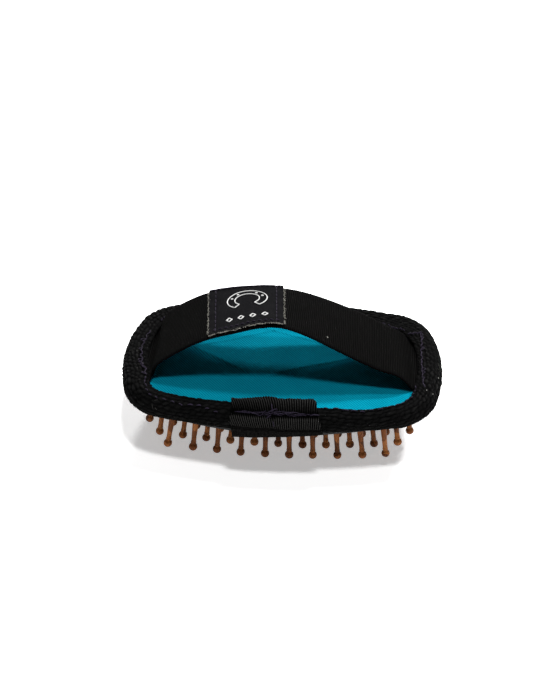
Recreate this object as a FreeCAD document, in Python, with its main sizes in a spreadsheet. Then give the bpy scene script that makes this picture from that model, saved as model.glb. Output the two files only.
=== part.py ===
"""Oval grooming brush: cushioned pin pad with wooden ball-tipped pins and a fabric hand strap.

Millimetres, +Z up. The origin is on the floor under the middle of the oval: the brush stands on
the tips of its middle pins. +X runs along the length and the taped side faces -Y. Heights in the
sheet are measured from the middle plane of the padded rim unless their name ends in _height.
"""
import FreeCAD, Part

import math
import os

import Sketcher

V = FreeCAD.Vector
doc = FreeCAD.newDocument("grooming_brush")

# ---------------------------------------------------------------- driving dimensions
DIMENSIONS = {
    # outline of the rim, seen from above: eight tangent arcs
    "half_length": 75.0,
    "half_width": 53.5,
    "side_arc": 200.0,          # radius of the two long sides
    "end_arc": 108.0,           # radius of the two ends
    "corner_arc": 25.0,
    # the padded rim: a half-round roll of webbing
    "roll_radius": 6.3,
    "webbing_gauge": 1.6,
    "lip_inset": 16.0,          # inner edge of the webbing on top where it reaches furthest in
    "lip_drop": 0.6,            # how far that edge slopes down
    "opening_inset": 11.8,      # opening in the webbing's top, in from the outline at both ends
    "opening_shift": 4.0,       # how far the opening lies nearer the front
    "opening_floor": 3.0,       # height from which the opening is cut
    "strap_passage": 61.0,      # half the length kept open for the strap
    "wrap_angle": 73.0,         # how far the webbing goes round below, degrees
    # layers from the board upwards
    "board_bottom": -0.5,
    "board_gauge": 2.0,
    "board_inset": 2.1,
    "foam_gauge": 1.85,
    "foam_inset": 3.4,
    "cloth_gauge": 0.65,
    "cloth_inset": 4.2,
    # air cushion of rubber below the board
    "dome_radius": 370.0,
    "dome_drop": 11.5,          # lowest point of the rubber below the rim's middle plane
    "rubber_gauge": 2.5,
    "rubber_inset": 5.2,
    "wall_gauge": 1.4,
    "flange_inset": 3.0,
    "flange_gauge": 2.3,
    # wooden pins
    "pin_pitch": 10.6,          # along a row, on the rubber
    "row_pitch": 9.45,
    "pin_reach": 15.1,          # rubber to the middle of the ball
    "ball_radius": 2.0,
    "neck_radius": 1.2,
    "root_radius": 1.5,
    "head_radius": 2.3,
    "head_gauge": 1.2,
    "head_gap": 0.15,
    "hole_clearance": 0.3,
    # hand strap
    "strap_half_width": 25.0,
    "strap_gauge": 1.3,
    "strap_foot": 59.8,         # where the arch starts, from the middle
    "strap_tongue": 7.0,        # flat end tucked under the webbing
    "tongue_level": 2.75,       # underside of the tucked end
    "slit_margin": 0.3,
    "slit_start": 55.5,
    # label on the strap
    "label_left": -36.5,
    "label_right": -1.5,
    "label_half_width": 24.0,
    "label_gauge": 0.5,
    "overlock_width": 1.0,
    "overlock_gauge": 0.3,
    "layer_gap": 0.05,
    # tape folded over the joint in the webbing
    "tab_width": 39.0,
    "tab_centre": -1.4,
    "tab_gauge": 1.1,
    "tab_lip": 11.4,
    "tab_drop": 0.3,
    "tab_tail": 8.0,            # how far it hangs down in front of the rim
    # threads
    "thread_radius": 0.3,
    "edge_stitch": 3.2,
    "edge_stitch_step": 4.6,
    "edge_seam_margin": 1.6,    # seam in the webbing, out from its opening
}
sheet = doc.addObject("Spreadsheet::Sheet", "Dimensions")
for row, (alias, value) in enumerate(DIMENSIONS.items(), start=1):
    sheet.set(f"A{row}", alias)
    sheet.set(f"B{row}", str(value))
    sheet.setAlias(f"B{row}", alias)
last = len(DIMENSIONS)
WORKED_OUT = {
    "rim_height": "=dome_drop + pin_reach + ball_radius",
    "foam_bottom": "=board_bottom + board_gauge",
    "cloth_bottom": "=foam_bottom + foam_gauge",
    "cloth_top": "=cloth_bottom + cloth_gauge",
    "lining_radius": "=roll_radius - webbing_gauge",
    "cavity_inset": "=rubber_inset + wall_gauge",
}
for row, (alias, formula) in enumerate(WORKED_OUT.items(), start=last + 1):
    sheet.set(f"A{row}", alias)
    sheet.set(f"B{row}", formula)
    sheet.setAlias(f"B{row}", alias)
doc.recompute()


def dim(name):
    """A dimension as a number, read from the sheet."""
    return float(sheet.get(name))


def cell(name):
    """The same dimension as the right side of an expression."""
    return f"Dimensions.{name}"


RIM = dim("rim_height")
NODES = []


def publish(feature, name):
    """Give a finished sub-part its name and put it on the list to export."""
    feature.Label = name
    NODES.append(feature)


# ---------------------------------------------------------------- the oval outline
def oval_arcs(inset):
    """(centre, radius, start angle, end angle) of the arcs, anticlockwise from the front side."""
    side = dim("side_arc") - inset
    end = dim("end_arc") - inset
    corner = dim("corner_arc") - inset
    side_middle = V(0, dim("side_arc") - dim("half_width"), 0)
    end_middle = V(dim("half_length") - dim("end_arc"), 0, 0)
    # the corner's centre lies (side - corner) from one centre and (end - corner) from the other
    gap = side_middle.distanceToPoint(end_middle)
    along = ((side - corner) ** 2 - (end - corner) ** 2 + gap**2) / (2 * gap)
    across = math.sqrt((side - corner) ** 2 - along**2)
    run = (end_middle - side_middle).normalize()
    middle = side_middle + run * along + V(-run.y, run.x, 0) * across
    turn = math.atan2(middle.y - side_middle.y, middle.x - side_middle.x)
    end_turn = math.atan2(middle.y, middle.x - end_middle.x)
    quarter = [
        (side_middle, side, -math.pi - turn, turn),
        (middle, corner, turn, end_turn),
        (end_middle, end, end_turn, -end_turn),
        (V(middle.x, -middle.y, 0), corner, -end_turn, -turn),
    ]
    half_turn = [(V(-c.x, -c.y, 0), r, a + math.pi, b + math.pi) for c, r, a, b in quarter]
    return quarter + half_turn


def draw_oval(sketch, inset_cell=None):
    """Eight tangent arcs, parallel to the rim's outline and inset_cell inside it."""
    inset = dim(inset_cell) if inset_cell else 0.0
    less = f" - {cell(inset_cell)}" if inset_cell else ""
    arcs = oval_arcs(inset)
    for middle, radius, start, end in arcs:
        circle = Part.Circle(middle, V(0, 0, 1), radius)
        sketch.addGeometry(Part.ArcOfCircle(circle, start, end), False)
    count = len(arcs)
    for n in range(count):
        sketch.addConstraint(Sketcher.Constraint("Tangent", n, 2, (n + 1) % count, 1))
    radius_cells = ["side_arc", "corner_arc", "end_arc", "corner_arc"] * 2
    for n, name in enumerate(radius_cells):
        at = sketch.addConstraint(Sketcher.Constraint("Radius", n, arcs[n][1]))
        sketch.setExpression(f"Constraints[{at}]", cell(name) + less)
    for n, sign in ((0, 1), (4, -1)):
        sketch.addConstraint(Sketcher.Constraint("DistanceX", -1, 1, n, 3, 0.0))
        at = sketch.addConstraint(Sketcher.Constraint("DistanceY", -1, 1, n, 3, arcs[n][0].y))
        lift = "Dimensions.side_arc - Dimensions.half_width"
        sketch.setExpression(f"Constraints[{at}]", lift if sign > 0 else f"-({lift})")
    for n, sign in ((2, 1), (6, -1)):
        sketch.addConstraint(Sketcher.Constraint("DistanceY", -1, 1, n, 3, 0.0))
        at = sketch.addConstraint(Sketcher.Constraint("DistanceX", -1, 1, n, 3, arcs[n][0].x))
        shift = "Dimensions.half_length - Dimensions.end_arc"
        sketch.setExpression(f"Constraints[{at}]", shift if sign > 0 else f"-({shift})")


def plane_of(body, role):
    return next(f for f in body.Origin.OriginFeatures if f.Role == role)


def body_sketch(body, name, role, height_expression=None):
    sketch = body.newObject("Sketcher::SketchObject", name)
    sketch.AttachmentSupport = [(plane_of(body, role), "")]
    sketch.MapMode = "FlatFace"
    if height_expression:
        sketch.setExpression("AttachmentOffset.Base.z", height_expression)
    return sketch


def oval_layer(name, inset_cell, bottom_cell, gauge_cell, rounding=0.0):
    """A flat layer of the pad: an oval padded upwards."""
    body = doc.addObject("PartDesign::Body", name + "_body")
    outline = body_sketch(body, name + "_outline", "XY_Plane",
                          f"{cell('rim_height')} + {cell(bottom_cell)}")
    draw_oval(outline, inset_cell)
    pad = body.newObject("PartDesign::Pad", name + "_pad")
    pad.Profile = outline
    pad.setExpression("Length", cell(gauge_cell))
    doc.recompute()
    if rounding:
        top = [f"Edge{n}" for n, edge in enumerate(pad.Shape.Edges, start=1)
               if abs(edge.BoundBox.ZMin - pad.Shape.BoundBox.ZMax) < 1e-6]
        fillet = body.newObject("PartDesign::Fillet", name + "_rounding")
        fillet.Base = (pad, top)
        fillet.Radius = rounding
    return body


# ---------------------------------------------------------------- board, foam and cloth
publish(oval_layer("board", "board_inset", "board_bottom", "board_gauge", 0.4), "pin_backing_board")


def with_strap_slits(layer, name):
    """The layer with a slit at each end where the strap's tongue goes through."""
    slits = []
    for side, sign in (("left", -1), ("right", 1)):
        slit = doc.addObject("Part::Box", f"{name}_{side}_slit")
        slit.setExpression("Length", "Dimensions.strap_foot + Dimensions.strap_tongue"
                           " + Dimensions.slit_margin - Dimensions.slit_start")
        slit.setExpression("Width", "2 * (Dimensions.strap_half_width + Dimensions.slit_margin)")
        slit.setExpression("Height", "2 * Dimensions.cloth_gauge + Dimensions.webbing_gauge")
        start = cell("slit_start") if sign > 0 else (
            "-(Dimensions.strap_foot + Dimensions.strap_tongue + Dimensions.slit_margin)")
        slit.setExpression("Placement.Base.x", start)
        slit.setExpression("Placement.Base.y",
                           "-(Dimensions.strap_half_width + Dimensions.slit_margin)")
        slit.setExpression("Placement.Base.z",
                           "Dimensions.rim_height + Dimensions.tongue_level - Dimensions.layer_gap")
        slits.append(slit)
    both = doc.addObject("Part::MultiFuse", name + "_slits")
    both.Shapes = slits
    cut = doc.addObject("Part::Cut", name + "_slitted")
    cut.Base = layer
    cut.Tool = both
    return cut


foam = oval_layer("foam", "foam_inset", "foam_bottom", "foam_gauge", 0.5)
publish(with_strap_slits(foam, "foam"), "foam_cushion")
cloth = oval_layer("cloth", "cloth_inset", "cloth_bottom", "cloth_gauge")
publish(with_strap_slits(cloth, "cloth"), "cover_cloth")


# ---------------------------------------------------------------- rubber air cushion
def oval_prism(name, inset_cell, top_expression, depth_expression):
    """An oval block that hangs down from a given height."""
    outline = doc.addObject("Sketcher::SketchObject", name + "_outline")
    outline.setExpression("Placement.Base.z", f"{cell('rim_height')} + {top_expression}")
    draw_oval(outline, inset_cell)
    block = doc.addObject("Part::Extrusion", name)
    block.Base = outline
    block.DirMode = "Custom"
    block.Dir = V(0, 0, -1)
    block.Solid = True
    block.setExpression("LengthFwd", depth_expression)
    return block


def dome_ball(name, less):
    """The ball whose lowest part is the dome; less makes it smaller about the same middle."""
    ball = doc.addObject("Part::Sphere", name)
    ball.setExpression("Radius", f"Dimensions.dome_radius{less}")
    ball.setExpression("Placement.Base.z",
                       "Dimensions.rim_height - Dimensions.dome_drop + Dimensions.dome_radius")
    return ball


def common(name, base, tool):
    shared = doc.addObject("Part::Common", name)
    shared.Base = base
    shared.Tool = tool
    return shared


DEPTH = "2 * Dimensions.dome_drop"
bag = common("rubber_outside", oval_prism("rubber_block", "rubber_inset", cell("board_bottom"), DEPTH),
             dome_ball("rubber_outer_ball", ""))
cavity = common("rubber_inside", oval_prism("cavity_block", "cavity_inset", cell("board_bottom"), DEPTH),
                dome_ball("rubber_inner_ball", " - Dimensions.rubber_gauge"))
flange = oval_prism("rubber_flange", "flange_inset", cell("board_bottom"), cell("flange_gauge"))
bag_with_flange = doc.addObject("Part::MultiFuse", "rubber_bag_with_flange")
bag_with_flange.Shapes = [bag, flange]

DOME = dim("dome_radius")
BALL_MIDDLE = V(0, 0, RIM - dim("dome_drop") + DOME)
PINS_IN_ROW = (10, 11, 12, 11, 12, 11, 12, 11, 10)


def pin_directions(row):
    """Unit vectors from the ball's middle out through each pin of a row, left to right."""
    count = PINS_IN_ROW[row]
    across = (row - (len(PINS_IN_ROW) - 1) / 2) * dim("row_pitch")
    found = []
    for n in range(count):
        along = (n - (count - 1) / 2) * dim("pin_pitch")
        found.append(V(along, across, -math.sqrt(DOME**2 - along**2 - across**2)).normalize())
    return found


def hole(direction):
    """A clearance hole through the rubber and a little past it."""
    depth = dim("rubber_gauge")
    inner = BALL_MIDDLE + direction * (DOME - 2 * depth)
    return Part.makeCylinder(dim("root_radius") + dim("hole_clearance"), 3 * depth, inner, direction)


pin_holes = doc.addObject("Part::Feature", "pin_holes")
pin_holes.Shape = Part.makeCompound(
    [hole(direction) for row in range(len(PINS_IN_ROW)) for direction in pin_directions(row)])
hollow = doc.addObject("Part::Cut", "rubber_hollow")
hollow.Base = bag_with_flange
hollow.Tool = cavity
rubber = doc.addObject("Part::Cut", "rubber_with_holes")
rubber.Base = hollow
rubber.Tool = pin_holes
publish(rubber, "rubber_pin_pad")


# ---------------------------------------------------------------- wooden pins
def make_pin_body():
    """One pin, turned about Z: its head is inside the rubber and its ball at +Z."""
    body = doc.addObject("PartDesign::Body", "pin_pattern")
    profile = body_sketch(body, "pin_profile", "XZ_Plane")
    under_head = -(dim("rubber_gauge") + dim("head_gap"))
    head_top = under_head - dim("head_gauge")
    reach, ball = dim("pin_reach"), dim("ball_radius")
    neck = dim("neck_radius")
    neck_height = reach - math.sqrt(ball**2 - neck**2)
    corners = [
        V(0, head_top, 0),
        V(dim("head_radius"), head_top, 0),
        V(dim("head_radius"), under_head, 0),
        V(dim("root_radius"), under_head, 0),
        V(dim("root_radius"), 0, 0),
        V(neck, neck_height, 0),
    ]
    for a, b in zip(corners, corners[1:]):
        profile.addGeometry(Part.LineSegment(a, b), False)
    start = math.atan2(neck_height - reach, neck)
    circle = Part.Circle(V(0, reach, 0), V(0, 0, 1), ball)
    profile.addGeometry(Part.ArcOfCircle(circle, start, math.pi / 2), False)
    profile.addGeometry(Part.LineSegment(V(0, reach + ball, 0), corners[0]), False)
    lines, arc, axis = len(corners) - 1, len(corners) - 1, len(corners)
    for n in range(lines - 1):
        profile.addConstraint(Sketcher.Constraint("Coincident", n, 2, n + 1, 1))
    profile.addConstraint(Sketcher.Constraint("Coincident", lines - 1, 2, arc, 1))
    profile.addConstraint(Sketcher.Constraint("Coincident", arc, 2, axis, 1))
    profile.addConstraint(Sketcher.Constraint("Coincident", axis, 2, 0, 1))
    profile.addConstraint(Sketcher.Constraint("PointOnObject", axis, 2, -2))
    profile.addConstraint(Sketcher.Constraint("PointOnObject", arc, 3, -2))
    profile.addConstraint(Sketcher.Constraint("Vertical", axis))
    profile.addConstraint(Sketcher.Constraint("Horizontal", 0))
    profile.addConstraint(Sketcher.Constraint("Horizontal", 2))
    profile.addConstraint(Sketcher.Constraint("Vertical", 1))
    profile.addConstraint(Sketcher.Constraint("Vertical", 3))
    sized = [
        ("Radius", (arc,), ball, cell("ball_radius")),
        ("DistanceY", (-1, 1, arc, 3), reach, cell("pin_reach")),
        ("DistanceX", (-1, 1, arc, 1), neck, cell("neck_radius")),
        ("DistanceX", (-1, 1, 0, 2), dim("head_radius"), cell("head_radius")),
        ("DistanceX", (-1, 1, 3, 2), dim("root_radius"), cell("root_radius")),
        ("DistanceY", (1, 1, 1, 2), dim("head_gauge"), cell("head_gauge")),
        ("DistanceY", (1, 2, -1, 1), -under_head,
         "Dimensions.rubber_gauge + Dimensions.head_gap"),
    ]
    for kind, where, size, expression in sized:
        at = profile.addConstraint(Sketcher.Constraint(kind, *where, size))
        profile.setExpression(f"Constraints[{at}]", expression)
    turned = body.newObject("PartDesign::Revolution", "pin_turned")
    turned.Profile = profile
    turned.ReferenceAxis = (profile, ["V_Axis"])
    turned.Angle = 360.0
    return body


pin = make_pin_body()
doc.recompute()
OUT_OF_THE_RUBBER = V(0, 0, 1)
for row in range(len(PINS_IN_ROW)):
    turned_pins = []
    for direction in pin_directions(row):
        one = pin.Shape.copy()
        turn = FreeCAD.Rotation(OUT_OF_THE_RUBBER, direction)
        one.Placement = FreeCAD.Placement(BALL_MIDDLE + direction * DOME, turn)
        turned_pins.append(one)
    feature = doc.addObject("Part::Feature", f"pins_of_row_{row + 1}")
    feature.Shape = Part.makeCompound(turned_pins)
    publish(feature, f"pin_row_{row + 1}")


# ---------------------------------------------------------------- webbing round the rim
def c_section(outer, inner, lip_inset, lip_drop, wrap_degrees, tail=0.0):
    """A C of even thickness round the roll, as (inset, height) edges, in the plane of Z and inset.

    The roll's middle is roll_radius in from the outline. The C starts at the lip on top, goes
    round outside and ends wrap_degrees below the middle plane, or hangs straight down by tail.
    """
    middle = dim("roll_radius")
    wrap = math.radians(wrap_degrees)
    low_out = V(middle - outer * math.cos(wrap), -outer * math.sin(wrap), 0)
    low_in = V(middle - inner * math.cos(wrap), -inner * math.sin(wrap), 0)
    half = math.radians((90.0 - wrap_degrees) / 2)
    out_mid = V(middle - outer * math.cos(half), outer * math.sin(half), 0)
    in_mid = V(middle - inner * math.cos(half), inner * math.sin(half), 0)
    top_out, top_in = V(middle, outer, 0), V(middle, inner, 0)
    lip_out, lip_in = V(lip_inset, outer - lip_drop, 0), V(lip_inset, inner - lip_drop, 0)
    end_out, end_in = low_out - V(0, tail, 0), low_in - V(0, tail, 0)
    edges = [Part.LineSegment(lip_out, top_out), Part.Arc(top_out, out_mid, low_out)]
    if tail:
        edges.append(Part.LineSegment(low_out, end_out))
    edges.append(Part.LineSegment(end_out, end_in))
    if tail:
        edges.append(Part.LineSegment(end_in, low_in))
    return edges + [
        Part.Arc(low_in, in_mid, top_in),
        Part.LineSegment(top_in, lip_in),
        Part.LineSegment(lip_in, lip_out),
    ]


def revolved_face(edges, arc, turn):
    """The section standing upright at one end of an outline arc, as a face."""
    middle, radius, start, _ = arc
    wire = Part.Wire([edge.toShape() for edge in edges])
    # (inset, height) to the plane through the arc's own upright axis
    wire.rotate(V(0, 0, 0), V(1, 0, 0), 90)
    wire.rotate(V(0, 0, 0), V(0, 0, 1), 180)
    wire.translate(V(radius, 0, 0))
    wire.rotate(V(0, 0, 0), V(0, 0, 1), math.degrees(start) + turn)
    wire.translate(middle + V(0, 0, RIM))
    return Part.Face(wire)


webbing_section = c_section(dim("roll_radius"), dim("lining_radius"), dim("lip_inset"),
                            dim("lip_drop"), dim("wrap_angle"))
lengths = []
for arc in oval_arcs(0.0):
    sweep_angle = math.degrees((arc[3] - arc[2]) % (2 * math.pi))
    face = revolved_face(webbing_section, arc, 0.0)
    lengths.append(face.revolve(arc[0], V(0, 0, 1), sweep_angle))
binding = doc.addObject("Part::Feature", "webbing_binding")
binding.Shape = lengths[0].multiFuse(lengths[1:]).removeSplitter()

# the webbing is laid nearer the middle at the back than at the front
opening_outline = doc.addObject("Sketcher::SketchObject", "opening_outline")
draw_oval(opening_outline, "opening_inset")
opening_outline.setExpression("Placement.Base.y", "-Dimensions.opening_shift")
opening_outline.setExpression("Placement.Base.z", "Dimensions.rim_height + Dimensions.opening_floor")
opening = doc.addObject("Part::Extrusion", "webbing_opening")
opening.Base = opening_outline
opening.DirMode = "Custom"
opening.Dir = V(0, 0, 1)
opening.Solid = True
opening.setExpression("LengthFwd", "Dimensions.roll_radius")
passage = doc.addObject("Part::Box", "strap_passage_block")
passage.setExpression("Length", "2 * Dimensions.strap_passage")
passage.setExpression("Width", "2 * (Dimensions.strap_half_width + Dimensions.slit_margin)")
passage.setExpression("Height", cell("roll_radius"))
passage.setExpression("Placement.Base.x", "-Dimensions.strap_passage")
passage.setExpression("Placement.Base.y", "-(Dimensions.strap_half_width + Dimensions.slit_margin)")
passage.setExpression("Placement.Base.z", "Dimensions.rim_height + Dimensions.opening_floor")
cut_away = doc.addObject("Part::MultiFuse", "webbing_cut_away")
cut_away.Shapes = [opening, passage]
webbing = doc.addObject("Part::Cut", "webbing_with_opening")
webbing.Base = binding
webbing.Tool = cut_away
publish(webbing, "edge_webbing")

# tape folded over the webbing's joint, on the front side
tab_outer = dim("roll_radius") + dim("layer_gap") + dim("tab_gauge")
tab_section = c_section(tab_outer, dim("roll_radius") + dim("layer_gap"), dim("tab_lip"),
                        dim("tab_drop"), 0.0, dim("tab_tail"))
tab_turn = math.degrees(dim("tab_width") / dim("side_arc"))
tab_start = -90.0 + math.degrees(dim("tab_centre") / dim("side_arc")) - tab_turn / 2
FRONT_MIDDLE = V(0, dim("side_arc") - dim("half_width"), 0)
tab_arc = (FRONT_MIDDLE, dim("side_arc"), math.radians(tab_start), 0.0)
tab = doc.addObject("Part::Feature", "tab_tape")
tab.Shape = revolved_face(tab_section, tab_arc, 0.0).revolve(FRONT_MIDDLE, V(0, 0, 1), tab_turn)
publish(tab, "webbing_joint_tab")


# ---------------------------------------------------------------- hand strap
# The arch is higher and sharper at its front edge than at its back edge. Points of its
# underside, as (x, height above the rim's middle plane), between the two feet.
FRONT_ARCH = [(-57.0, 9.3), (-48.8, 15.8), (-36.2, 23.4), (-20.0, 29.3), (-2.9, 33.4),
              (10.1, 30.2), (24.1, 22.9), (42.0, 14.0), (52.6, 8.5)]
BACK_ARCH = [(-58.0, 8.4), (-50.0, 15.3), (-38.0, 21.8), (-22.0, 25.3), (-5.0, 26.5),
             (8.0, 24.8), (22.0, 20.6), (40.0, 12.7), (51.0, 7.3)]


def arch_points(inner, above):
    """The arch's points lifted square to its run by a distance, with its two feet."""
    foot, level = dim("strap_foot"), dim("tongue_level")
    points = [V(-foot, level, 0)] + [V(x, height, 0) for x, height in inner] + [V(foot, level, 0)]
    lifted = [points[0] + V(0, above, 0)]
    for before, here, after in zip(points, points[1:], points[2:]):
        run = (after - before).normalize()
        lifted.append(here + V(-run.y, run.x, 0) * above)
    lifted.append(points[-1] + V(0, above, 0))
    return lifted


def arch_section(name, inner, side, below, above, tongue):
    """Closed profile of a layer that follows the arch, in the upright plane at one edge."""
    sketch = doc.addObject("Sketcher::SketchObject", name)
    sketch.Placement.Rotation = FreeCAD.Rotation(V(1, 0, 0), 90)
    sketch.setExpression("Placement.Base.y", f"{side} * Dimensions.strap_half_width")
    sketch.setExpression("Placement.Base.z", cell("rim_height"))
    low = Part.BSplineCurve()
    low.interpolate(arch_points(inner, below))
    high = Part.BSplineCurve()
    high.interpolate(arch_points(inner, above))
    step = V(tongue, 0, 0)
    low_left, low_right = low.StartPoint, low.EndPoint
    high_left, high_right = high.StartPoint, high.EndPoint
    edges = [low]
    if tongue:
        edges += [
            Part.LineSegment(low_right, low_right + step),
            Part.LineSegment(low_right + step, high_right + step),
            Part.LineSegment(high_right + step, high_right),
            high,
            Part.LineSegment(high_left, high_left - step),
            Part.LineSegment(high_left - step, low_left - step),
            Part.LineSegment(low_left - step, low_left),
        ]
    else:
        edges += [
            Part.LineSegment(low_right, high_right),
            high,
            Part.LineSegment(high_left, low_left),
        ]
    for edge in edges:
        sketch.addGeometry(edge, False)
    return sketch


def arch_layer(name, below, above, tongue=0.0):
    """A layer that follows the arch across the strap's whole width."""
    loft = doc.addObject("Part::Loft", name)
    loft.Sections = [
        arch_section(name + "_front", FRONT_ARCH, -1, below, above, tongue),
        arch_section(name + "_back", BACK_ARCH, 1, below, above, tongue),
    ]
    loft.Solid = True
    loft.Ruled = True
    return loft


def block(name, x_low, x_high, y_low, y_high):
    """An upright box that cuts a piece out of a layer of the arch, heights covering it all."""
    box = doc.addObject("Part::Box", name)
    box.Length = x_high - x_low
    box.Width = y_high - y_low
    box.setExpression("Height", "2 * Dimensions.rim_height")
    box.Placement.Base = V(x_low, y_low, 0)
    box.setExpression("Placement.Base.z", cell("rim_height"))
    return box


publish(arch_layer("strap_loft", 0.0, dim("strap_gauge"), dim("strap_tongue")), "hand_strap")

label_low = dim("strap_gauge") + dim("layer_gap")
label_high = label_low + dim("label_gauge")
left, right, half = dim("label_left"), dim("label_right"), dim("label_half_width")
label = common("label_cloth", arch_layer("label_layer", label_low, label_high),
               block("label_block", left, right, -half, half))
publish(label, "strap_label")

edge_width = dim("overlock_width")
overlock_low = label_high + dim("layer_gap")
overlock_frame = doc.addObject("Part::MultiFuse", "overlock_frame")
overlock_frame.Shapes = [
    block("overlock_left", left, left + edge_width, -half, half),
    block("overlock_right", right - edge_width, right, -half, half),
    block("overlock_bottom", left, right, -half, -half + edge_width),
]
overlock = common("overlock_threads",
                  arch_layer("overlock_layer", overlock_low, overlock_low + dim("overlock_gauge")),
                  overlock_frame)
publish(overlock, "label_overlock")


# ---------------------------------------------------------------- threads
def thread(start, end):
    """One visible stitch: a short round thread."""
    run = end - start
    return Part.makeCylinder(dim("thread_radius"), run.Length, start, run)


def publish_threads(stitches, name):
    feature = doc.addObject("Part::Feature", name + "_threads")
    feature.Shape = Part.makeCompound(stitches)
    publish(feature, name)


def outline_point(inset, distance):
    """A point of the oval at an inset and how far round it lies, from the right end."""
    for middle, radius, start, end in oval_arcs(inset):
        length = radius * ((end - start) % (2 * math.pi))
        if distance < length:
            turn = start + distance / radius
            return middle + V(math.cos(turn), math.sin(turn), 0) * radius
        distance -= length
    return outline_point(inset, distance)


def outline_length(inset):
    return sum(radius * ((end - start) % (2 * math.pi)) for _, radius, start, end in oval_arcs(inset))


def roll_top(inset, crown, edge, drop):
    """Height of the upper face at an inset: round the roll, then sloping to its inner edge."""
    middle = dim("roll_radius")
    if inset < middle:
        return RIM + math.sqrt(crown**2 - (middle - inset) ** 2)
    return RIM + crown - drop * (inset - middle) / (edge - middle)


def webbing_top(inset):
    return roll_top(inset, dim("roll_radius"), dim("lip_inset"), dim("lip_drop"))


def inset_of(point):
    """How far in from the outline a point near the rim lies."""
    found = []
    for middle, radius, start, end in oval_arcs(0.0):
        away = point - middle
        if (math.atan2(away.y, away.x) - start) % (2 * math.pi) <= (end - start) % (2 * math.pi):
            found.append(radius - away.Length)
    return min(found)


thread_lift = dim("thread_radius") + dim("layer_gap")
tab_reach = dim("tab_width") / 2 + 1.0


def on_webbing(point, above):
    """The point of the plan raised onto the webbing, and above it."""
    return V(point.x, point.y, webbing_top(inset_of(point)) + above)


def clear_of_tab(point):
    return point.y > 0 or abs(point.x - dim("tab_centre")) > tab_reach


def clear_of_strap(point):
    return abs(point.y) > dim("strap_half_width") + 2.0


# a running seam round the opening
SEAM_LIFT = 1.25
seam_inset = dim("opening_inset") - dim("edge_seam_margin")
shift = V(0, -dim("opening_shift"), 0)
round_length = outline_length(seam_inset)
count = int(round_length / dim("edge_stitch_step"))
seam = []
for n in range(count):
    along = n * round_length / count
    a = outline_point(seam_inset, along) + shift
    b = outline_point(seam_inset, along + dim("edge_stitch")) + shift
    if clear_of_tab(a) and clear_of_tab(b) and clear_of_strap(a) and clear_of_strap(b):
        above = SEAM_LIFT * thread_lift
        seam.append(thread(on_webbing(a, above), on_webbing(b, above)))
publish_threads(seam, "edge_seam_stitches")

# zigzag bars that sew the strap's ends down through the webbing
BAR_STITCHES = 11
BAR_NEAR, BAR_FAR = 8.4, 10.9
BAR_LIFT = 1.6
for side, sign in (("left", -1), ("right", 1)):
    bars = []
    for n in range(BAR_STITCHES):
        low = dim("strap_half_width") * (2 * n / BAR_STITCHES - 1)
        high = low + 1.6 * dim("strap_half_width") / BAR_STITCHES
        near_x = sign * (dim("half_length") - BAR_NEAR)
        far_x = sign * (dim("half_length") - BAR_FAR)
        above = BAR_LIFT * thread_lift
        a = V(near_x, low, webbing_top(BAR_NEAR) + above)
        b = V(far_x, high, webbing_top(BAR_FAR) + above)
        bars.append(thread(a, b))
    publish_threads(bars, f"strap_stitches_{side}")

# stitches along the tape on its upper face and round its nose
tab_bars = []
TAB_ROWS = (7.4, 9.8)
TAB_STITCHES = 8
TAB_LIFT = 1.15
for inset in TAB_ROWS:
    for n in range(TAB_STITCHES):
        radius = dim("side_arc") - inset
        ends = []
        for part in (0.12, 0.88):
            turn = math.radians(tab_start + tab_turn * (n + part) / TAB_STITCHES)
            top = roll_top(inset, tab_outer, dim("tab_lip"), dim("tab_drop"))
            rise = V(0, 0, top + TAB_LIFT * thread_lift)
            ends.append(FRONT_MIDDLE + V(math.cos(turn), math.sin(turn), 0) * radius + rise)
        tab_bars.append(thread(ends[0], ends[1]))
publish_threads(tab_bars, "tab_stitches")

# ---------------------------------------------------------------- check and write
doc.recompute()
for item in doc.Objects:
    if "Invalid" in item.State or "Error" in item.State:
        raise RuntimeError(f"{item.Name} failed: {item.State}")
os.makedirs("parts", exist_ok=True)
for feature in NODES:
    shape = feature.Shape
    if shape.isNull() or not shape.isValid() or not shape.Solids:
        raise RuntimeError(f"{feature.Label} has no valid solid")
    shape.exportStep(f"parts/{feature.Label}.step")
    size = shape.BoundBox
    print(f"{feature.Label}: {len(shape.Solids)} solids, {shape.Volume:.1f} mm3, "
          f"x {size.XMin:.1f}..{size.XMax:.1f} y {size.YMin:.1f}..{size.YMax:.1f} "
          f"z {size.ZMin:.1f}..{size.ZMax:.1f}")
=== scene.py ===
"""Visual model of the cushioned pin grooming brush, in metres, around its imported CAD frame."""
import math

import bpy
import numpy as np
from mathutils import Matrix, Vector
from mathutils.bvhtree import BVHTree


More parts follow.
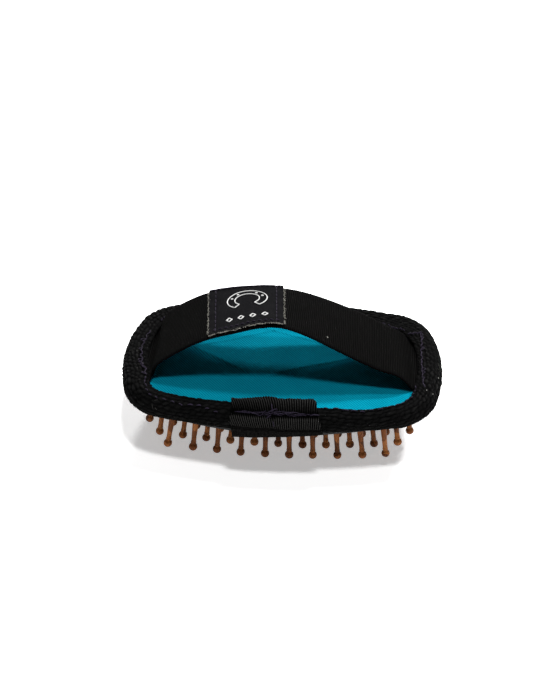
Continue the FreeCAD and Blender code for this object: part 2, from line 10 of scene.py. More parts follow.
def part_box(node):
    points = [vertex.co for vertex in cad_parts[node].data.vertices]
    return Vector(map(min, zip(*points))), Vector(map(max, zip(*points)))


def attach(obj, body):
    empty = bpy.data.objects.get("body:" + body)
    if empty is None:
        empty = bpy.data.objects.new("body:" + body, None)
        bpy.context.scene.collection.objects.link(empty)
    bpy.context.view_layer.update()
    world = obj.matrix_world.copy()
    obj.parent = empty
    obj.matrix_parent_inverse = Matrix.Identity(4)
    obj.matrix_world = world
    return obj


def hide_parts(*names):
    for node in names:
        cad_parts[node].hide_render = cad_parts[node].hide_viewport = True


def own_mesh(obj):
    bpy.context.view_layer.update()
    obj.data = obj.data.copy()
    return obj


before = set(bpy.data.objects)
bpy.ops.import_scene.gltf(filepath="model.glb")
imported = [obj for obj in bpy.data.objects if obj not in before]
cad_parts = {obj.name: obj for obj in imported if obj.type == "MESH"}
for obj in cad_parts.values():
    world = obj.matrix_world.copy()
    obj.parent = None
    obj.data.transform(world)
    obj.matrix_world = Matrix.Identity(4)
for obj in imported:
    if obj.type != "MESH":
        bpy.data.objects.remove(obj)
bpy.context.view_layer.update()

MM = 0.001

# --- driving sizes
# The rim's outline is eight tangent arcs: the same oval as the CAD model's.
WEB_LOW, WEB_HIGH = (np.array(corner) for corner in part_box("edge_webbing"))
HALF_LENGTH = (WEB_HIGH[0] - WEB_LOW[0]) / 2
HALF_WIDTH = (WEB_HIGH[1] - WEB_LOW[1]) / 2
SIDE_ARC, END_ARC, CORNER_ARC = 0.200, 0.108, 0.025
ROLL = 0.0063  # radius of the padded rim's half-round
RIM = WEB_HIGH[2] - ROLL  # height of the rim's middle plane
LIP_REACH, LIP_DROP, WRAP = 0.0160, 0.0006, math.radians(73)
LIP_FLAT = math.hypot(LIP_REACH - ROLL, LIP_DROP)
SECTION_LENGTH = LIP_FLAT + ROLL * (math.pi / 2 + WRAP)
OPENING_INSET, OPENING_SHIFT = 0.0118, 0.0040  # the webbing's opening lies nearer the front
WEB_GAUGE = 0.0009
CLOTH_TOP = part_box("cover_cloth")[1][2]
CLOTH_INSET = 0.0042
STRAP_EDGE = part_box("hand_strap")[1][1]  # half the strap's width
STRAP_GAUGE = 0.0013


# --- geometry helpers
def smooth_step(x):
    x = np.clip(x, 0.0, 1.0)
    return x * x * (3 - 2 * x)


def oval_arcs():
    """(centre, radius, start angle, end angle), anticlockwise from the back side."""
    side_middle = np.array([0.0, HALF_WIDTH - SIDE_ARC])
    end_middle = np.array([HALF_LENGTH - END_ARC, 0.0])
    side, end = SIDE_ARC - CORNER_ARC, END_ARC - CORNER_ARC
    run = end_middle - side_middle
    gap = np.linalg.norm(run)
    run = run / gap
    along = (side**2 - end**2 + gap**2) / (2 * gap)
    across = math.sqrt(side**2 - along**2)
    middle = side_middle + run * along + np.array([run[1], -run[0]]) * across
    turn = math.atan2(middle[1] - side_middle[1], middle[0])
    end_turn = math.atan2(middle[1], middle[0] - end_middle[0])
    right = [
        (middle * [1, -1], CORNER_ARC, -turn, -end_turn),
        (end_middle, END_ARC, -end_turn, end_turn),
        (middle, CORNER_ARC, end_turn, turn),
        (side_middle, SIDE_ARC, turn, math.pi - turn),
    ]
    return right + [(-c, r, a + math.pi, b + math.pi) for c, r, a, b in right]


ARCS = oval_arcs()
ARC_LENGTHS = np.array([r * (b - a) for _, r, a, b in ARCS])
ROUND = float(ARC_LENGTHS.sum())  # length of the outline


def outline(distance):
    """Points and outward normals of the outline, at distances round it."""
    distance = np.mod(np.asarray(distance, float), ROUND)
    starts = np.concatenate([[0], np.cumsum(ARC_LENGTHS)])
    which = np.clip(np.searchsorted(starts, distance, side="right") - 1, 0, len(ARCS) - 1)
    points, normals = np.empty((*distance.shape, 2)), np.empty((*distance.shape, 2))
    for n, (middle, radius, start, _) in enumerate(ARCS):
        here = which == n
        turn = start + (distance[here] - starts[n]) / radius
        normals[here] = np.stack([np.cos(turn), np.sin(turn)], -1)
        points[here] = middle + normals[here] * radius
    return points, normals


def outline_reach(angle):
    """Distance from the middle to the outline in each direction."""
    s = np.linspace(0, ROUND, 4000, endpoint=False)
    points, _ = outline(s)
    turns = np.mod(np.arctan2(points[:, 1], points[:, 0]), 2 * math.pi)
    order = np.argsort(turns)
    reach = np.hypot(points[:, 0], points[:, 1])[order]
    return np.interp(np.mod(angle, 2 * math.pi), turns[order], reach, period=2 * math.pi)


def roll_section(v, grow=0.0, lip=LIP_REACH, drop=LIP_DROP, tail=False):
    """(inset, height, outward normal) at lengths v along a section round the roll, from its lip."""
    radius = ROLL + grow
    flat = math.hypot(lip - ROLL, drop)
    v = np.asarray(v, float)
    turn = np.pi / 2 - np.maximum(v - flat, 0) / radius
    hang = np.maximum(-turn, 0) * radius if tail else np.zeros(v.shape)
    turn = np.maximum(turn, 0) if tail else turn
    on_flat = v < flat
    share = np.where(on_flat, 1 - v / flat, 0)
    inset = np.where(on_flat, ROLL + (lip - ROLL) * share, ROLL - radius * np.cos(turn))
    height = np.where(on_flat, radius - drop * share, radius * np.sin(turn)) - hang
    inward = np.where(on_flat, drop / flat, -np.cos(turn))
    up = np.where(on_flat, (lip - ROLL) / flat, np.sin(turn))
    return inset, height, np.stack([inward, up], -1)


def section_at(inset):
    """Length along the webbing's section from its widest lip to an inset."""
    inset = np.asarray(inset, float)
    slope = LIP_FLAT * (LIP_REACH - inset) / (LIP_REACH - ROLL)
    round_roll = LIP_FLAT + ROLL * (np.pi / 2 - np.arccos(np.clip(1 - inset / ROLL, -1, 1)))
    return np.where(inset > ROLL, slope, round_roll)


def bell(x, middle, width):
    return np.exp(-((x - middle) / width) ** 2)


def front_share(normals):
    """1 along the front side, 0 at the ends and the back."""
    return smooth_step((-normals[..., 1] - 0.25) / 0.7)


# where the lip swings in or out along the front: how far, about which x, half how wide
FRONT_SWINGS = [(0.0006, 0.0, 0.022), (-0.0029, 0.041, 0.014), (-0.0006, -0.042, 0.012)]


def lip_inset(points, normals):
    """Inset of the webbing's upper edge round the rim."""
    x, y = points[..., 0], points[..., 1]
    front = sum(reach * bell(x, middle, width) for reach, middle, width in FRONT_SWINGS)
    front_left = 0.0028 * bell(x, -0.070, 0.012) * bell(y, -0.025, 0.012)
    back_right = 0.0034 * bell(x, 0.062, 0.012) * smooth_step((y - 0.012) / 0.018)
    even = OPENING_INSET + OPENING_SHIFT * normals[..., 1]
    return even + front * front_share(normals) + front_left + back_right


def top_scale(points, normals):
    """The roll is pressed flatter in some places than in others."""
    x, y = points[..., 0], points[..., 1]
    front = front_share(normals)
    right = smooth_step((x + 0.005) / 0.03)
    back_right = smooth_step((x - 0.02) / 0.03) * smooth_step((y - 0.02) / 0.02)
    return 1 - 0.06 * front - 0.12 * front * right - 0.03 * back_right


def grid_faces(rows, columns, wrap_rows=False, wrap_columns=False):
    """Quads of a grid whose points run row by row."""
    r = np.arange(rows if wrap_rows else rows - 1)
    c = np.arange(columns if wrap_columns else columns - 1)
    a, b = np.meshgrid(r, c, indexing="ij")
    a2, b2 = (a + 1) % rows, (b + 1) % columns
    quads = np.stack([a * columns + b, a2 * columns + b, a2 * columns + b2, a * columns + b2], -1)
    return quads.reshape(-1, 4)


def closed_sheet(top, bottom):
    """(points, faces) of a closed thin sheet from its upper and lower grids of points."""
    rows, columns = top.shape[:2]
    size = rows * columns
    faces = grid_faces(rows, columns).tolist()
    faces += [[i + size for i in f[::-1]] for f in faces]
    ids = np.arange(size).reshape(rows, columns)
    border = np.concatenate([ids[0, :-1], ids[:-1, -1], ids[-1, :0:-1], ids[:0:-1, 0]])
    faces += [[a + size, b + size, b, a] for a, b in zip(border, np.roll(border, -1))]
    return np.concatenate([top.reshape(-1, 3), bottom.reshape(-1, 3)]), faces


def on_rim(points, normals, section, lift=0.0, scale=1.0):
    """Places on the rim from points of the outline and a section there, lifted square to it."""
    inset, height, normal = section
    height = height * np.where(height > 0, scale, 1) + normal[..., 1] * lift
    inset = inset + normal[..., 0] * lift
    return np.concatenate([points - normals * inset[..., None], RIM + height[..., None]], -1)


def add_mesh(name, points, faces, material, slot, body="pad", replaces=(), uv=None, relief=None):
    """A smooth-shaded piece that rides on a body. relief is 0 in the gaps, 1 on the threads; the
    materials paint shade into the gaps and light onto the threads from it, and some pieces add more
    painted shade to it.
    uv and relief of one side of a closed sheet also serve for its other side."""
    mesh = bpy.data.meshes.new(name)
    points = np.asarray(points, float).reshape(-1, 3)
    mesh.from_pydata(points.tolist(), [], [list(map(int, f)) for f in faces])
    mesh.validate()
    mesh.polygons.foreach_set("use_smooth", [True] * len(mesh.polygons))
    if uv is not None:
        layer = mesh.uv_layers.new(name="UVMap")
        loops = np.empty(len(mesh.loops), int)
        mesh.loops.foreach_get("vertex_index", loops)
        layer.data.foreach_set("uv", np.resize(uv, (len(points), 2))[loops].ravel())
    if relief is not None:
        values = np.clip(np.resize(relief, len(points)), 0, 1)
        mesh.attributes.new("relief", "FLOAT", "POINT").data.foreach_set("value", values)
    mesh.update()
    piece = bpy.data.objects.new(name, mesh)
    bpy.context.scene.collection.objects.link(piece)
    piece.data.materials.append(material)
    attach(piece, body)
    if replaces:
        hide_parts(*replaces)
    return piece


def tube(path, radius, sides, closed=False):
    """(points, faces) of a round tube along a path; radius may be a number or one per point."""
    path = np.asarray(path, float)
    count = len(path)
    radius = np.broadcast_to(np.asarray(radius, float), (count,))
    run = np.roll(path, -1, 0) - np.roll(path, 1, 0) if closed else np.gradient(path, axis=0)
    run /= np.linalg.norm(run, axis=1, keepdims=True) + 1e-12
    side = np.cross(run[0], [0.0, 0.0, 1.0])
    if np.linalg.norm(side) < 0.1:
        side = np.cross(run[0], [0.0, 1.0, 0.0])
    turns = np.arange(sides) / sides * 2 * math.pi
    rings = []
    for n in range(count):
        side = side - run[n] * side.dot(run[n])
        side /= np.linalg.norm(side) + 1e-12
        other = np.cross(run[n], side)
        rings.append(path[n] + radius[n] * (np.outer(np.cos(turns), side)
                                            + np.outer(np.sin(turns), other)))
    faces = grid_faces(count, sides, closed, True).tolist()
    if not closed:
        faces.append(list(range(sides))[::-1])
        faces.append(list(range((count - 1) * sides, count * sides)))
    return np.concatenate(rings), faces


class Parts:
    """Gathers several closed shells into one piece."""

    def __init__(self):
        self.points, self.faces, self.count = [], [], 0

    def add(self, points, faces):
        self.points.append(np.asarray(points, float).reshape(-1, 3))
        self.faces += [[int(i) + self.count for i in f] for f in faces]
        self.count += len(self.points[-1])

    def thread(self, path, radius, sides, closed=False):
        self.add(*tube(path, radius, sides, closed))

    def make(self, name, material, slot, body="pad", replaces=()):
        points = np.concatenate(self.points)
        return add_mesh(name, points, self.faces, material, slot, body, replaces)


def noise(x, y, seed):
    """Smooth, repeatable noise from -1 to 1 in three octaves, the widest about 1 unit across."""
    local = np.random.default_rng(seed)
    total, weight = np.zeros(np.broadcast(x, y).shape), 0.0
    for octave in range(3):
        for _ in range(4):
            turn, phase = local.uniform(0, 2 * math.pi, 2)
            wave = local.uniform(0.7, 1.4) * 2**octave * math.pi
            total += np.sin(wave * (x * math.cos(turn) + y * math.sin(turn)) + phase) / 2**octave
        weight += 4 / 2**octave
    return total / weight * 1.8


# --- materials
class Shader:
    """A material and short ways to add nodes to it."""

    def __init__(self, name):
        self.material = bpy.data.materials.new(name)
        self.material.use_nodes = True
        self.nodes = self.material.node_tree.nodes
        self.links = self.material.node_tree.links
        self.surface = self.nodes["Principled BSDF"]

    def node(self, kind, inputs=None, **settings):
        made = self.nodes.new(kind)
        for key, value in settings.items():
            setattr(made, key, value)
        for key, value in (inputs or {}).items():
            self.put(made.inputs[key], value)
        return made

    def put(self, socket, value):
        if isinstance(value, bpy.types.NodeSocket):
            self.links.new(value, socket)
        elif isinstance(value, bpy.types.Node):
            self.links.new(value.outputs[0], socket)
        else:
            socket.default_value = value

    def math(self, operation, a, b=0.0, c=0.0):
        return self.node("ShaderNodeMath", {0: a, 1: b, 2: c}, operation=operation).outputs[0]

    def weighted(self, *terms):
        """The sum of (value, weight) pairs."""
        *others, (value, weight) = terms
        total = self.math("MULTIPLY", value, weight)
        for value, weight in reversed(others):
            total = self.math("MULTIPLY_ADD", value, weight, total)
        return total

    def place(self, scale=(1, 1, 1), uv=False, turn=0.0):
        """Object coordinates, or the piece's own lengths along and across it, scaled."""
        where = self.node("ShaderNodeTexCoord").outputs["UV" if uv else "Object"]
        inputs = {"Vector": where, "Scale": scale, "Rotation": (0, 0, turn)}
        return self.node("ShaderNodeMapping", inputs).outputs[0]

    def relief(self):
        """How far a woven thread stands out at this place, kept with the mesh, used to paint shade
        into the gaps and light onto the threads; on the joint tape it holds the tape's painted
        tone.
        """
        return self.node("ShaderNodeAttribute", attribute_name="relief").outputs["Fac"]

    def noise(self, scale, detail=3.0, place=None, roughness=0.55):
        inputs = {"Scale": scale, "Detail": detail, "Roughness": roughness}
        inputs["Vector"] = place if place is not None else self.place()
        return self.node("ShaderNodeTexNoise", inputs).outputs["Fac"]

    def wave(self, place, scale, distortion, direction="X", **more):
        """Even bands; their pitch is 0.314 / scale."""
        inputs = {"Vector": place, "Scale": scale, "Distortion": distortion, **more}
        return self.node("ShaderNodeTexWave", inputs, bands_direction=direction,
                         wave_profile="SIN").outputs["Fac"]

    def cells(self, scale):
        return self.node("ShaderNodeTexVoronoi", {"Vector": self.place(), "Scale": scale}).outputs

    def first_channel(self, colour):
        return self.node("ShaderNodeSeparateColor", {"Color": colour}).outputs[0]

    def ramp(self, value, stops):
        """A colour ramp; stops are (position, colour)."""
        made = self.node("ShaderNodeValToRGB", {"Fac": value})
        ramp = made.color_ramp
        while len(ramp.elements) < len(stops):
            ramp.elements.new(0.5)
        for element, (position, colour) in zip(ramp.elements, stops):
            element.position = position
            element.color = (*colour, 1)
        return made.outputs["Color"]

    def mix(self, share, a, b):
        made = self.node("ShaderNodeMix", data_type="RGBA", blend_type="MIX")
        colours = [s for s in made.inputs if s.type == "RGBA"]
        self.put(made.inputs["Factor"], share)
        self.put(colours[0], a)
        self.put(colours[1], b)
        return next(s for s in made.outputs if s.type == "RGBA")

    def bump(self, height, distance, strength):
        inputs = {"Height": height, "Distance": distance, "Strength": strength}
        return self.node("ShaderNodeBump", inputs).outputs[0]

    def finish(self, base, roughness, normal=None, specular=0.5):
        sockets = self.surface.inputs
        self.put(sockets["Base Color"], base)
        self.put(sockets["Roughness"], roughness)
        self.put(sockets["Specular IOR Level"], specular)
        if normal is not None:
            self.put(sockets["Normal"], normal)
        return self.material


def grey(level, warm=0.0):
    return (level * (1 + warm), level, level * (1 - warm))


def lint(shader, base, amount, scale):
    """Sparse pale specks of dust and fibre over a dark cloth."""
    cells = shader.cells(scale)
    speck = shader.math("LESS_THAN", cells["Distance"], 0.10)
    rare = shader.math("GREATER_THAN", shader.first_channel(cells["Color"]), 1 - 0.06 * amount)
    share = shader.math("MULTIPLY", shader.math("MULTIPLY", speck, rare), 0.55)
    return shader.mix(share, base, (0.42, 0.42, 0.38, 1))


def webbing_material():
    s = Shader("black_webbing")
    patch = s.noise(90.0, 4.0)
    fibre = s.noise(3600.0, 3.0, roughness=0.7)
    # painted shade and highlight: the stored relief makes the gaps between grains dark and the
    # grains' tops pale
    tone = s.weighted((s.relief(), 0.52), (fibre, 0.32), (patch, 0.16))
    base = s.ramp(tone, [(0.30, grey(0.0009)), (0.60, grey(0.0034)), (0.84, grey(0.0105, 0.02))])
    base = lint(s, base, 0.35, 330.0)
    normal = s.bump(fibre, 0.00022, 0.9)
    return s.finish(base, 0.8, normal, 0.012)


def cloth_material():
    s = Shader("teal_twill")
    # twill lines run from the back left to the front right
    lines = s.place((1, 1, 1), turn=math.radians(-36))
    wave = s.wave(lines, 284.0, 0.15, **{"Detail": 1.0, "Detail Scale": 2.0})
    cross = s.wave(s.place(), 620.0, 0.2, "Y")
    fibre = s.noise(3800.0, 3.0, roughness=0.7)
    patch = s.noise(26.0, 3.0)
    tone = s.weighted((wave, 0.32), (cross, 0.06), (fibre, 0.36), (patch, 0.26))
    base = s.ramp(tone, [(0.24, (0.0002, 0.082, 0.134)), (0.50, (0.0004, 0.172, 0.258)),
                         (0.76, (0.002, 0.285, 0.385))])
    normal = s.bump(s.weighted((wave, 0.4), (fibre, 0.3), (cross, 0.25)), 0.00024, 0.9)
    return s.finish(base, 0.9, normal, 0.004)


def grosgrain_material(name, dark, light, speck):
    """Ribbed black tape: fine threads run along the piece, over the ribs."""
    s = Shader(name)
    threads = s.place((1700.0, 1150.0, 1), uv=True)
    weft = s.noise(1.0, 2.0, threads, 0.5)
    fibre = s.noise(2600.0, 3.0, roughness=0.7)
    worn = s.noise(55.0, 4.0)
    # painted shade and highlight: the stored relief makes the gaps between ribs dark and their
    # crests pale
    tone = s.weighted((s.relief(), 0.60), (weft, 0.34), (fibre, 0.04), (worn, 0.06))
    base = s.ramp(tone, [(0.44, grey(dark)), (0.78, grey(light, 0.03))])
    base = lint(s, base, speck, 240.0)
    normal = s.bump(s.math("ADD", weft, fibre), 0.00010, 0.8)
    return s.finish(base, 0.85, normal, 0.008)


def label_material():
    s = Shader("label_cloth")
    wave = s.wave(s.place(uv=True), 900.0, 0.4)
    fibre = s.noise(5200.0, 2.0)
    patch = s.noise(130.0, 3.0)
    tone = s.weighted((wave, 0.3), (fibre, 0.35), (patch, 0.35))
    base = s.ramp(tone, [(0.25, (0.0023, 0.0023, 0.0027)), (0.75, (0.0074, 0.0072, 0.0082))])
    base = lint(s, base, 0.5, 300.0)
    normal = s.bump(s.math("ADD", wave, fibre), 0.00008, 0.8)
    return s.finish(base, 0.85, normal, 0.01)


def thread_material(name, dark, light, scale):
    s = Shader(name)
    ply = s.noise(scale, 3.0, roughness=0.6)
    base = s.ramp(s.weighted((s.noise(160.0), 0.4), (ply, 0.6)), [(0.3, dark), (0.7, light)])
    return s.finish(base, 0.6, s.bump(ply, 0.00012, 0.9), 0.05)


def wood_material():
    s = Shader("pin_wood")
    own = s.first_channel(s.cells(95.0)["Color"])
    grain = s.noise(1.0, 4.0, s.place((2600, 2600, 160)))
    pores = s.noise(1.0, 2.0, s.place((9000, 9000, 700)))
    tone = s.weighted((grain, 0.5), (pores, 0.2), (own, 0.3))
    base = s.ramp(tone, [(0.30, (0.045, 0.012, 0.003)), (0.50, (0.172, 0.053, 0.013)),
                         (0.72, (0.330, 0.121, 0.033))])
    rough = s.math("MULTIPLY_ADD", grain, 0.2, 0.36)
    return s.finish(base, rough, s.bump(pores, 0.00006, 0.6), 0.10)


def rubber_material():
    s = Shader("cushion_rubber")
    dust = s.noise(160.0, 5.0)
    grit = s.noise(3200.0, 2.0)
    base = s.ramp(dust, [(0.35, grey(0.006)), (0.75, grey(0.020, 0.05))])
    rough = s.math("MULTIPLY_ADD", dust, 0.25, 0.5)
    return s.finish(base, rough, s.bump(grit, 0.00006, 0.6), 0.25)


def board_material():
    s = Shader("board_fibre")
    grain = s.noise(900.0, 4.0)
    base = s.ramp(grain, [(0.3, grey(0.02)), (0.7, grey(0.06, 0.1))])
    return s.finish(base, 0.8, s.bump(grain, 0.0001, 0.5))


def foam_material():
    s = Shader("foam_cells")
    cells = s.cells(1500.0)["Distance"]
    base = s.ramp(cells, [(0.1, (0.36, 0.33, 0.26)), (0.6, (0.66, 0.62, 0.52))])
    return s.finish(base, 0.95, s.bump(cells, 0.0003, 0.8))


WEBBING = webbing_material()
TWILL = cloth_material()
GROSGRAIN = grosgrain_material("strap_grosgrain", 0.0001, 0.0031, 0.9)
TAPE = grosgrain_material("tape_grosgrain", 0.0006, 0.0235, 0.6)
LABEL = label_material()
PURPLE = thread_material("purple_thread", (0.0035, 0.0025, 0.0055), (0.029, 0.022, 0.040), 2400.0)
PALE = thread_material("pale_thread", (0.05, 0.048, 0.040), (0.30, 0.29, 0.255), 3200.0)
FAINT = thread_material("faint_fibre", (0.010, 0.010, 0.009), (0.060, 0.058, 0.052), 3200.0)
WHITE = thread_material("white_thread", (0.45, 0.45, 0.44), (0.68, 0.68, 0.67), 4200.0)
WOOD = wood_material()


# --- webbing round the rim
ROW_PITCH = 0.00196  # a row of woven grains
GRAINS = round(ROUND / 0.00385)  # grains in one row round the rim
GRAIN_PITCH = ROUND / GRAINS
GRAIN_RISE = 0.00080
GRAIN_SLANT = 0.42


def chance(a, b, seed=0.0):
    """A repeatable number from 0 to 1 for each pair of whole numbers."""
    value = np.sin(a * 12.9898 + b * 78.233 + seed) * 43758.5453
    return value - np.floor(value)


def weave(along, across):
    """Height of the woven grains, 0 to 1: rows of slanting grains laid like bricks."""
    turn = along / ROUND * 2 * math.pi
    drift = 0.00022 * np.sin(37 * turn + 900 * across) + 0.00016 * np.sin(81 * turn - 1400 * across)
    place = (across + drift) / ROW_PITCH
    row = np.floor(place)
    local = place - row - 0.5
    step = along / GRAIN_PITCH + GRAIN_SLANT * local + 0.5 * np.mod(row, 2)
    step = step + 0.22 * np.sin(29 * turn + row * 1.7) + 0.5 * chance(row, 3.0)
    cell = np.floor(step)
    own = chance(np.mod(cell, GRAINS), row)
    sideways = 0.10 * (chance(np.mod(cell, GRAINS), row, 5.0) - 0.5)
    reach = np.abs(2 * (step - cell - 0.5)) ** 2.4 * 1.02
    reach = reach + np.abs(2 * (local + sideways)) ** 2.2 * (0.92 + 0.25 * own)
    return np.sqrt(np.clip(1 - reach, 0, 1)) * (0.66 + 0.40 * own)


def build_webbing():
    columns, rows = ((1080, 80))
    under_rows = 9
    along = np.arange(columns) / columns * ROUND
    points, normals = outline(along)
    start = section_at(lip_inset(points, normals))[:, None]
    scale = top_scale(points, normals)[:, None]
    worn = 1 - 0.42 * front_share(normals)[:, None]
    points, normals = points[:, None], normals[:, None]
    a, t = np.meshgrid(along, np.linspace(0, 1, rows), indexing="ij")
    ragged = 0.00032 * noise(a / 0.0035, 0 * a, 3) + 0.00012 * np.sin(a / GRAIN_PITCH * 2 * math.pi)
    b = start + t * (SECTION_LENGTH - start)
    from_lip = b - start
    b = b + ragged * smooth_step(1 - from_lip / 0.002)
    edge = smooth_step((from_lip + 0.0003) / 0.0007) * smooth_step((SECTION_LENGTH - b) / 0.0006)
    grains = 0.62 + (weave(a, from_lip) - 0.62) * worn
    rise = GRAIN_RISE * (grains - 0.66) * edge - 0.00030 * (1 - edge)
    rise += 0.00025 * noise(a / 0.024, from_lip / 0.016, 5) * edge
    outer = on_rim(points, normals, roll_section(b), rise, scale)
    # inner skin, back from the lower edge to the lip
    under = start + np.linspace(1, 0, under_rows) * (SECTION_LENGTH - start)
    inset, height, normal = roll_section(under)
    section = inset - normal[..., 0] * WEB_GAUGE, height - normal[..., 1] * WEB_GAUGE, normal
    inner = on_rim(points, normals, section, scale=scale)
    # painted shade: the grains' tone darkens towards the edge that dips to the cloth
    relief = grains * (0.50 + 0.50 * smooth_step(from_lip / 0.0038))
    relief = np.concatenate([relief, np.zeros((columns, under_rows))], 1)
    faces = grid_faces(columns, rows + under_rows, True, True)
    add_mesh("edge_webbing_woven", np.concatenate([outer, inner], 1), faces, WEBBING,
             "black_webbing", replaces=["edge_webbing"], relief=relief)


build_webbing()


# --- teal cloth and foam
def oval_patch(count, inset):
    """A square grid of points pulled onto the oval, count by count."""
    side = np.linspace(-1, 1, count)
    a, b = np.meshgrid(side, side, indexing="ij")
    x, y = a * np.sqrt(1 - b * b / 2), b * np.sqrt(1 - a * a / 2)
    share, turn = np.hypot(x, y), np.arctan2(y * HALF_WIDTH, x * HALF_LENGTH)
    reach = outline_reach(turn) - inset
    return share * reach * np.cos(turn), share * reach * np.sin(turn), share


def crease(x, y, start, end, width=0.0007):
    """1 on a straight line between two points, falling off to its sides and towards its ends."""
    start = np.array(start)
    run = np.array(end) - start
    length = np.linalg.norm(run)
    run /= length
    along = (x - start[0]) * run[0] + (y - start[1]) * run[1]
    off = (x - start[0]) * -run[1] + (y - start[1]) * run[0]
    fade = smooth_step(along / 0.004) * smooth_step((length - along) / 0.004)
    return np.exp(-(off / width) ** 2) * fade


FOAM_LOW, FOAM_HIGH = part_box("foam_cushion")
CLOTH_ROOM = FOAM_HIGH[2] - FOAM_LOW[2] - 0.0006  # how far the cloth may sink into the foam
# the cloth is folded along a V with its point towards the front, and creased across it
FOLD_V = np.array([(-0.075, 0.031), (-0.010, -0.018), (0.075, 0.0245)])
CREASES = [(FOLD_V[0], FOLD_V[1]), (FOLD_V[1], FOLD_V[2]),
           ((-0.032, 0.036), (0.026, 0.012)), ((-0.040, 0.008), (0.012, 0.034)),
           ((0.004, 0.036), (0.052, 0.016)), ((0.018, -0.034), (0.050, -0.020))]


def cloth_height(x, y, share):
    """The cloth over the soft foam: dished, higher at the front, puckered and creased."""
    inside = np.clip(1 - share**2, 0, 1)
    dish = -0.0009 * np.sqrt(inside) + 0.00035 * noise(x / 0.030, y / 0.030, 11)
    turn = np.arctan2(y, x)
    pucker = 0.00012 * np.sin(turn * 46 + 2 * np.sin(turn * 5)) * smooth_step((share - 0.72) / 0.2)
    lines = sum(crease(x, y, a, b) for a, b in CREASES)
    off_front = HALF_WIDTH + y - 0.5 * x * x / SIDE_ARC
    swell = 0.0010 * bell(off_front, 0.0085, 0.0080) * smooth_step((0.062 - np.abs(x)) / 0.02)
    foot = smooth_step((np.abs(x) - 0.0555) / 0.004)
    foot = -0.0016 * foot * smooth_step((STRAP_EDGE - np.abs(y)) / 0.0015)
    low_right = -0.0003 * smooth_step(x / 0.03) * smooth_step((0.02 - off_front) / 0.01)
    tuck = -0.0016 * smooth_step((0.0066 - off_front) / 0.0022)
    ahead = np.interp(x, FOLD_V[:, 0], FOLD_V[:, 1]) - y
    fold = -0.16 * np.clip(ahead, 0, 0.006) * smooth_step((0.062 - np.abs(x)) / 0.02)
    hollow = -0.0011 * bell(x, 0.038, 0.022) * bell(off_front, 0.0195, 0.0075)
    hollow = hollow - 0.0008 * bell(x, -0.045, 0.020) * bell(off_front, 0.017, 0.006)
    soft = dish + pucker + 0.00030 * lines + swell + low_right + tuck + fold + hollow + foot
    return np.maximum(soft, -CLOTH_ROOM)


def layer(x, y, top, bottom):
    """A closed layer between two height fields on the same square grid."""
    return closed_sheet(np.stack([x, y, top], -1), np.stack([x, y, bottom], -1))


def build_cloth():
    x, y, share = oval_patch(218, CLOTH_INSET)
    top = CLOTH_TOP - 0.00005 + cloth_height(x, y, share)
    low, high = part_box("cover_cloth")
    gauge = (high[2] - low[2]) * 0.8
    piece = add_mesh("cover_cloth_twill", *layer(x, y, top, top - gauge), TWILL, "teal_twill",
                     replaces=["cover_cloth"])
    points, _ = outline(np.linspace(0, ROUND, 720, endpoint=False))
    return top - gauge


def build_foam(cloth_under):
    """The foam fills the room between the cloth's underside and the foam's base."""
    x, y, _ = oval_patch(cloth_under.shape[0], CLOTH_INSET)
    x, y = x * 0.995, y * 0.995
    base = np.full(cloth_under.shape, FOAM_LOW[2] + 0.00002)
    piece = add_mesh("foam_cushion_soft", *layer(x, y, cloth_under - 0.00012, base),
                     foam_material(), "foam", replaces=["foam_cushion"])


build_foam(build_cloth())


# --- CAD pieces that stay
def repaint(node, material):
    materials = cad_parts[node].data.materials
    materials.clear()
    materials.append(material)


repaint("rubber_pin_pad", rubber_material())
repaint("pin_backing_board", board_material())


# --- hand strap
def read_arch(y):
    """The CAD strap's middle surface along one line: evenly spaced x and their heights."""
    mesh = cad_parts["hand_strap"].data
    tree = BVHTree.FromPolygons([v.co.copy() for v in mesh.vertices],
                                [list(p.vertices) for p in mesh.polygons])
    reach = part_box("hand_strap")[1][0] - 0.0003
    xs = np.linspace(-reach, reach, 700)
    found = []
    for x in xs:
        down = tree.ray_cast(Vector((x, y, 0.2)), Vector((0, 0, -1)))[0]
        up = tree.ray_cast(Vector((x, y, -0.1)), Vector((0, 0, 1)))[0]
        found.append((down.z + up.z) / 2)
    heights = np.array(found)
    kernel = np.exp(-np.linspace(-2, 2, 15) ** 2)
    padded = np.pad(heights, 7, mode="edge")
    return xs, np.convolve(padded, kernel / kernel.sum(), mode="valid")


RIB_PITCH = 0.00092
RIB_RISE = 0.00011


class Arch:
    """The strap's middle surface: from a length along it and a place across it to a point."""

    def __init__(self):
        inner = STRAP_EDGE - 0.0004
        self.edge = inner
        xs, front = read_arch(-inner)
        _, back = read_arch(inner)
        middle = (front + back) / 2
        steps = np.hypot(np.diff(xs), np.diff(middle))
        self.s = np.concatenate([[0], np.cumsum(steps)])
        self.length = self.s[-1]
        # the front edge stands up where it comes off the right foot
        front = front + 0.0019 * bell(xs, 0.0545, 0.0065)
        self.xs, self.front, self.back = xs, front, back

    def raw(self, s, y):
        x = np.interp(s, self.s, self.xs)
        share = np.clip((y + self.edge) / (2 * self.edge), -0.02, 1.02)
        z = np.interp(s, self.s, self.front) * (1 - share) + np.interp(s, self.s, self.back) * share
        return x, z

    def point(self, s, y, lift=0.0):
        """The point lifted square to the strap."""
        step = 0.0008
        x, z = self.raw(s, y)
        x1, z1 = self.raw(np.clip(s - step, 0, self.length), y)
        x2, z2 = self.raw(np.clip(s + step, 0, self.length), y)
        run = np.hypot(x2 - x1, z2 - z1) + 1e-12
        nx, nz = -(z2 - z1) / run, (x2 - x1) / run
        return np.stack(np.broadcast_arrays(x + nx * lift, y, z + nz * lift), -1)

    def at_x(self, x):
        return float(np.interp(x, self.xs, self.s))


ARCH = Arch()


def squashed(piece):
    """Gives a piece on the strap its own copy of its mesh."""
    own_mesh(piece)


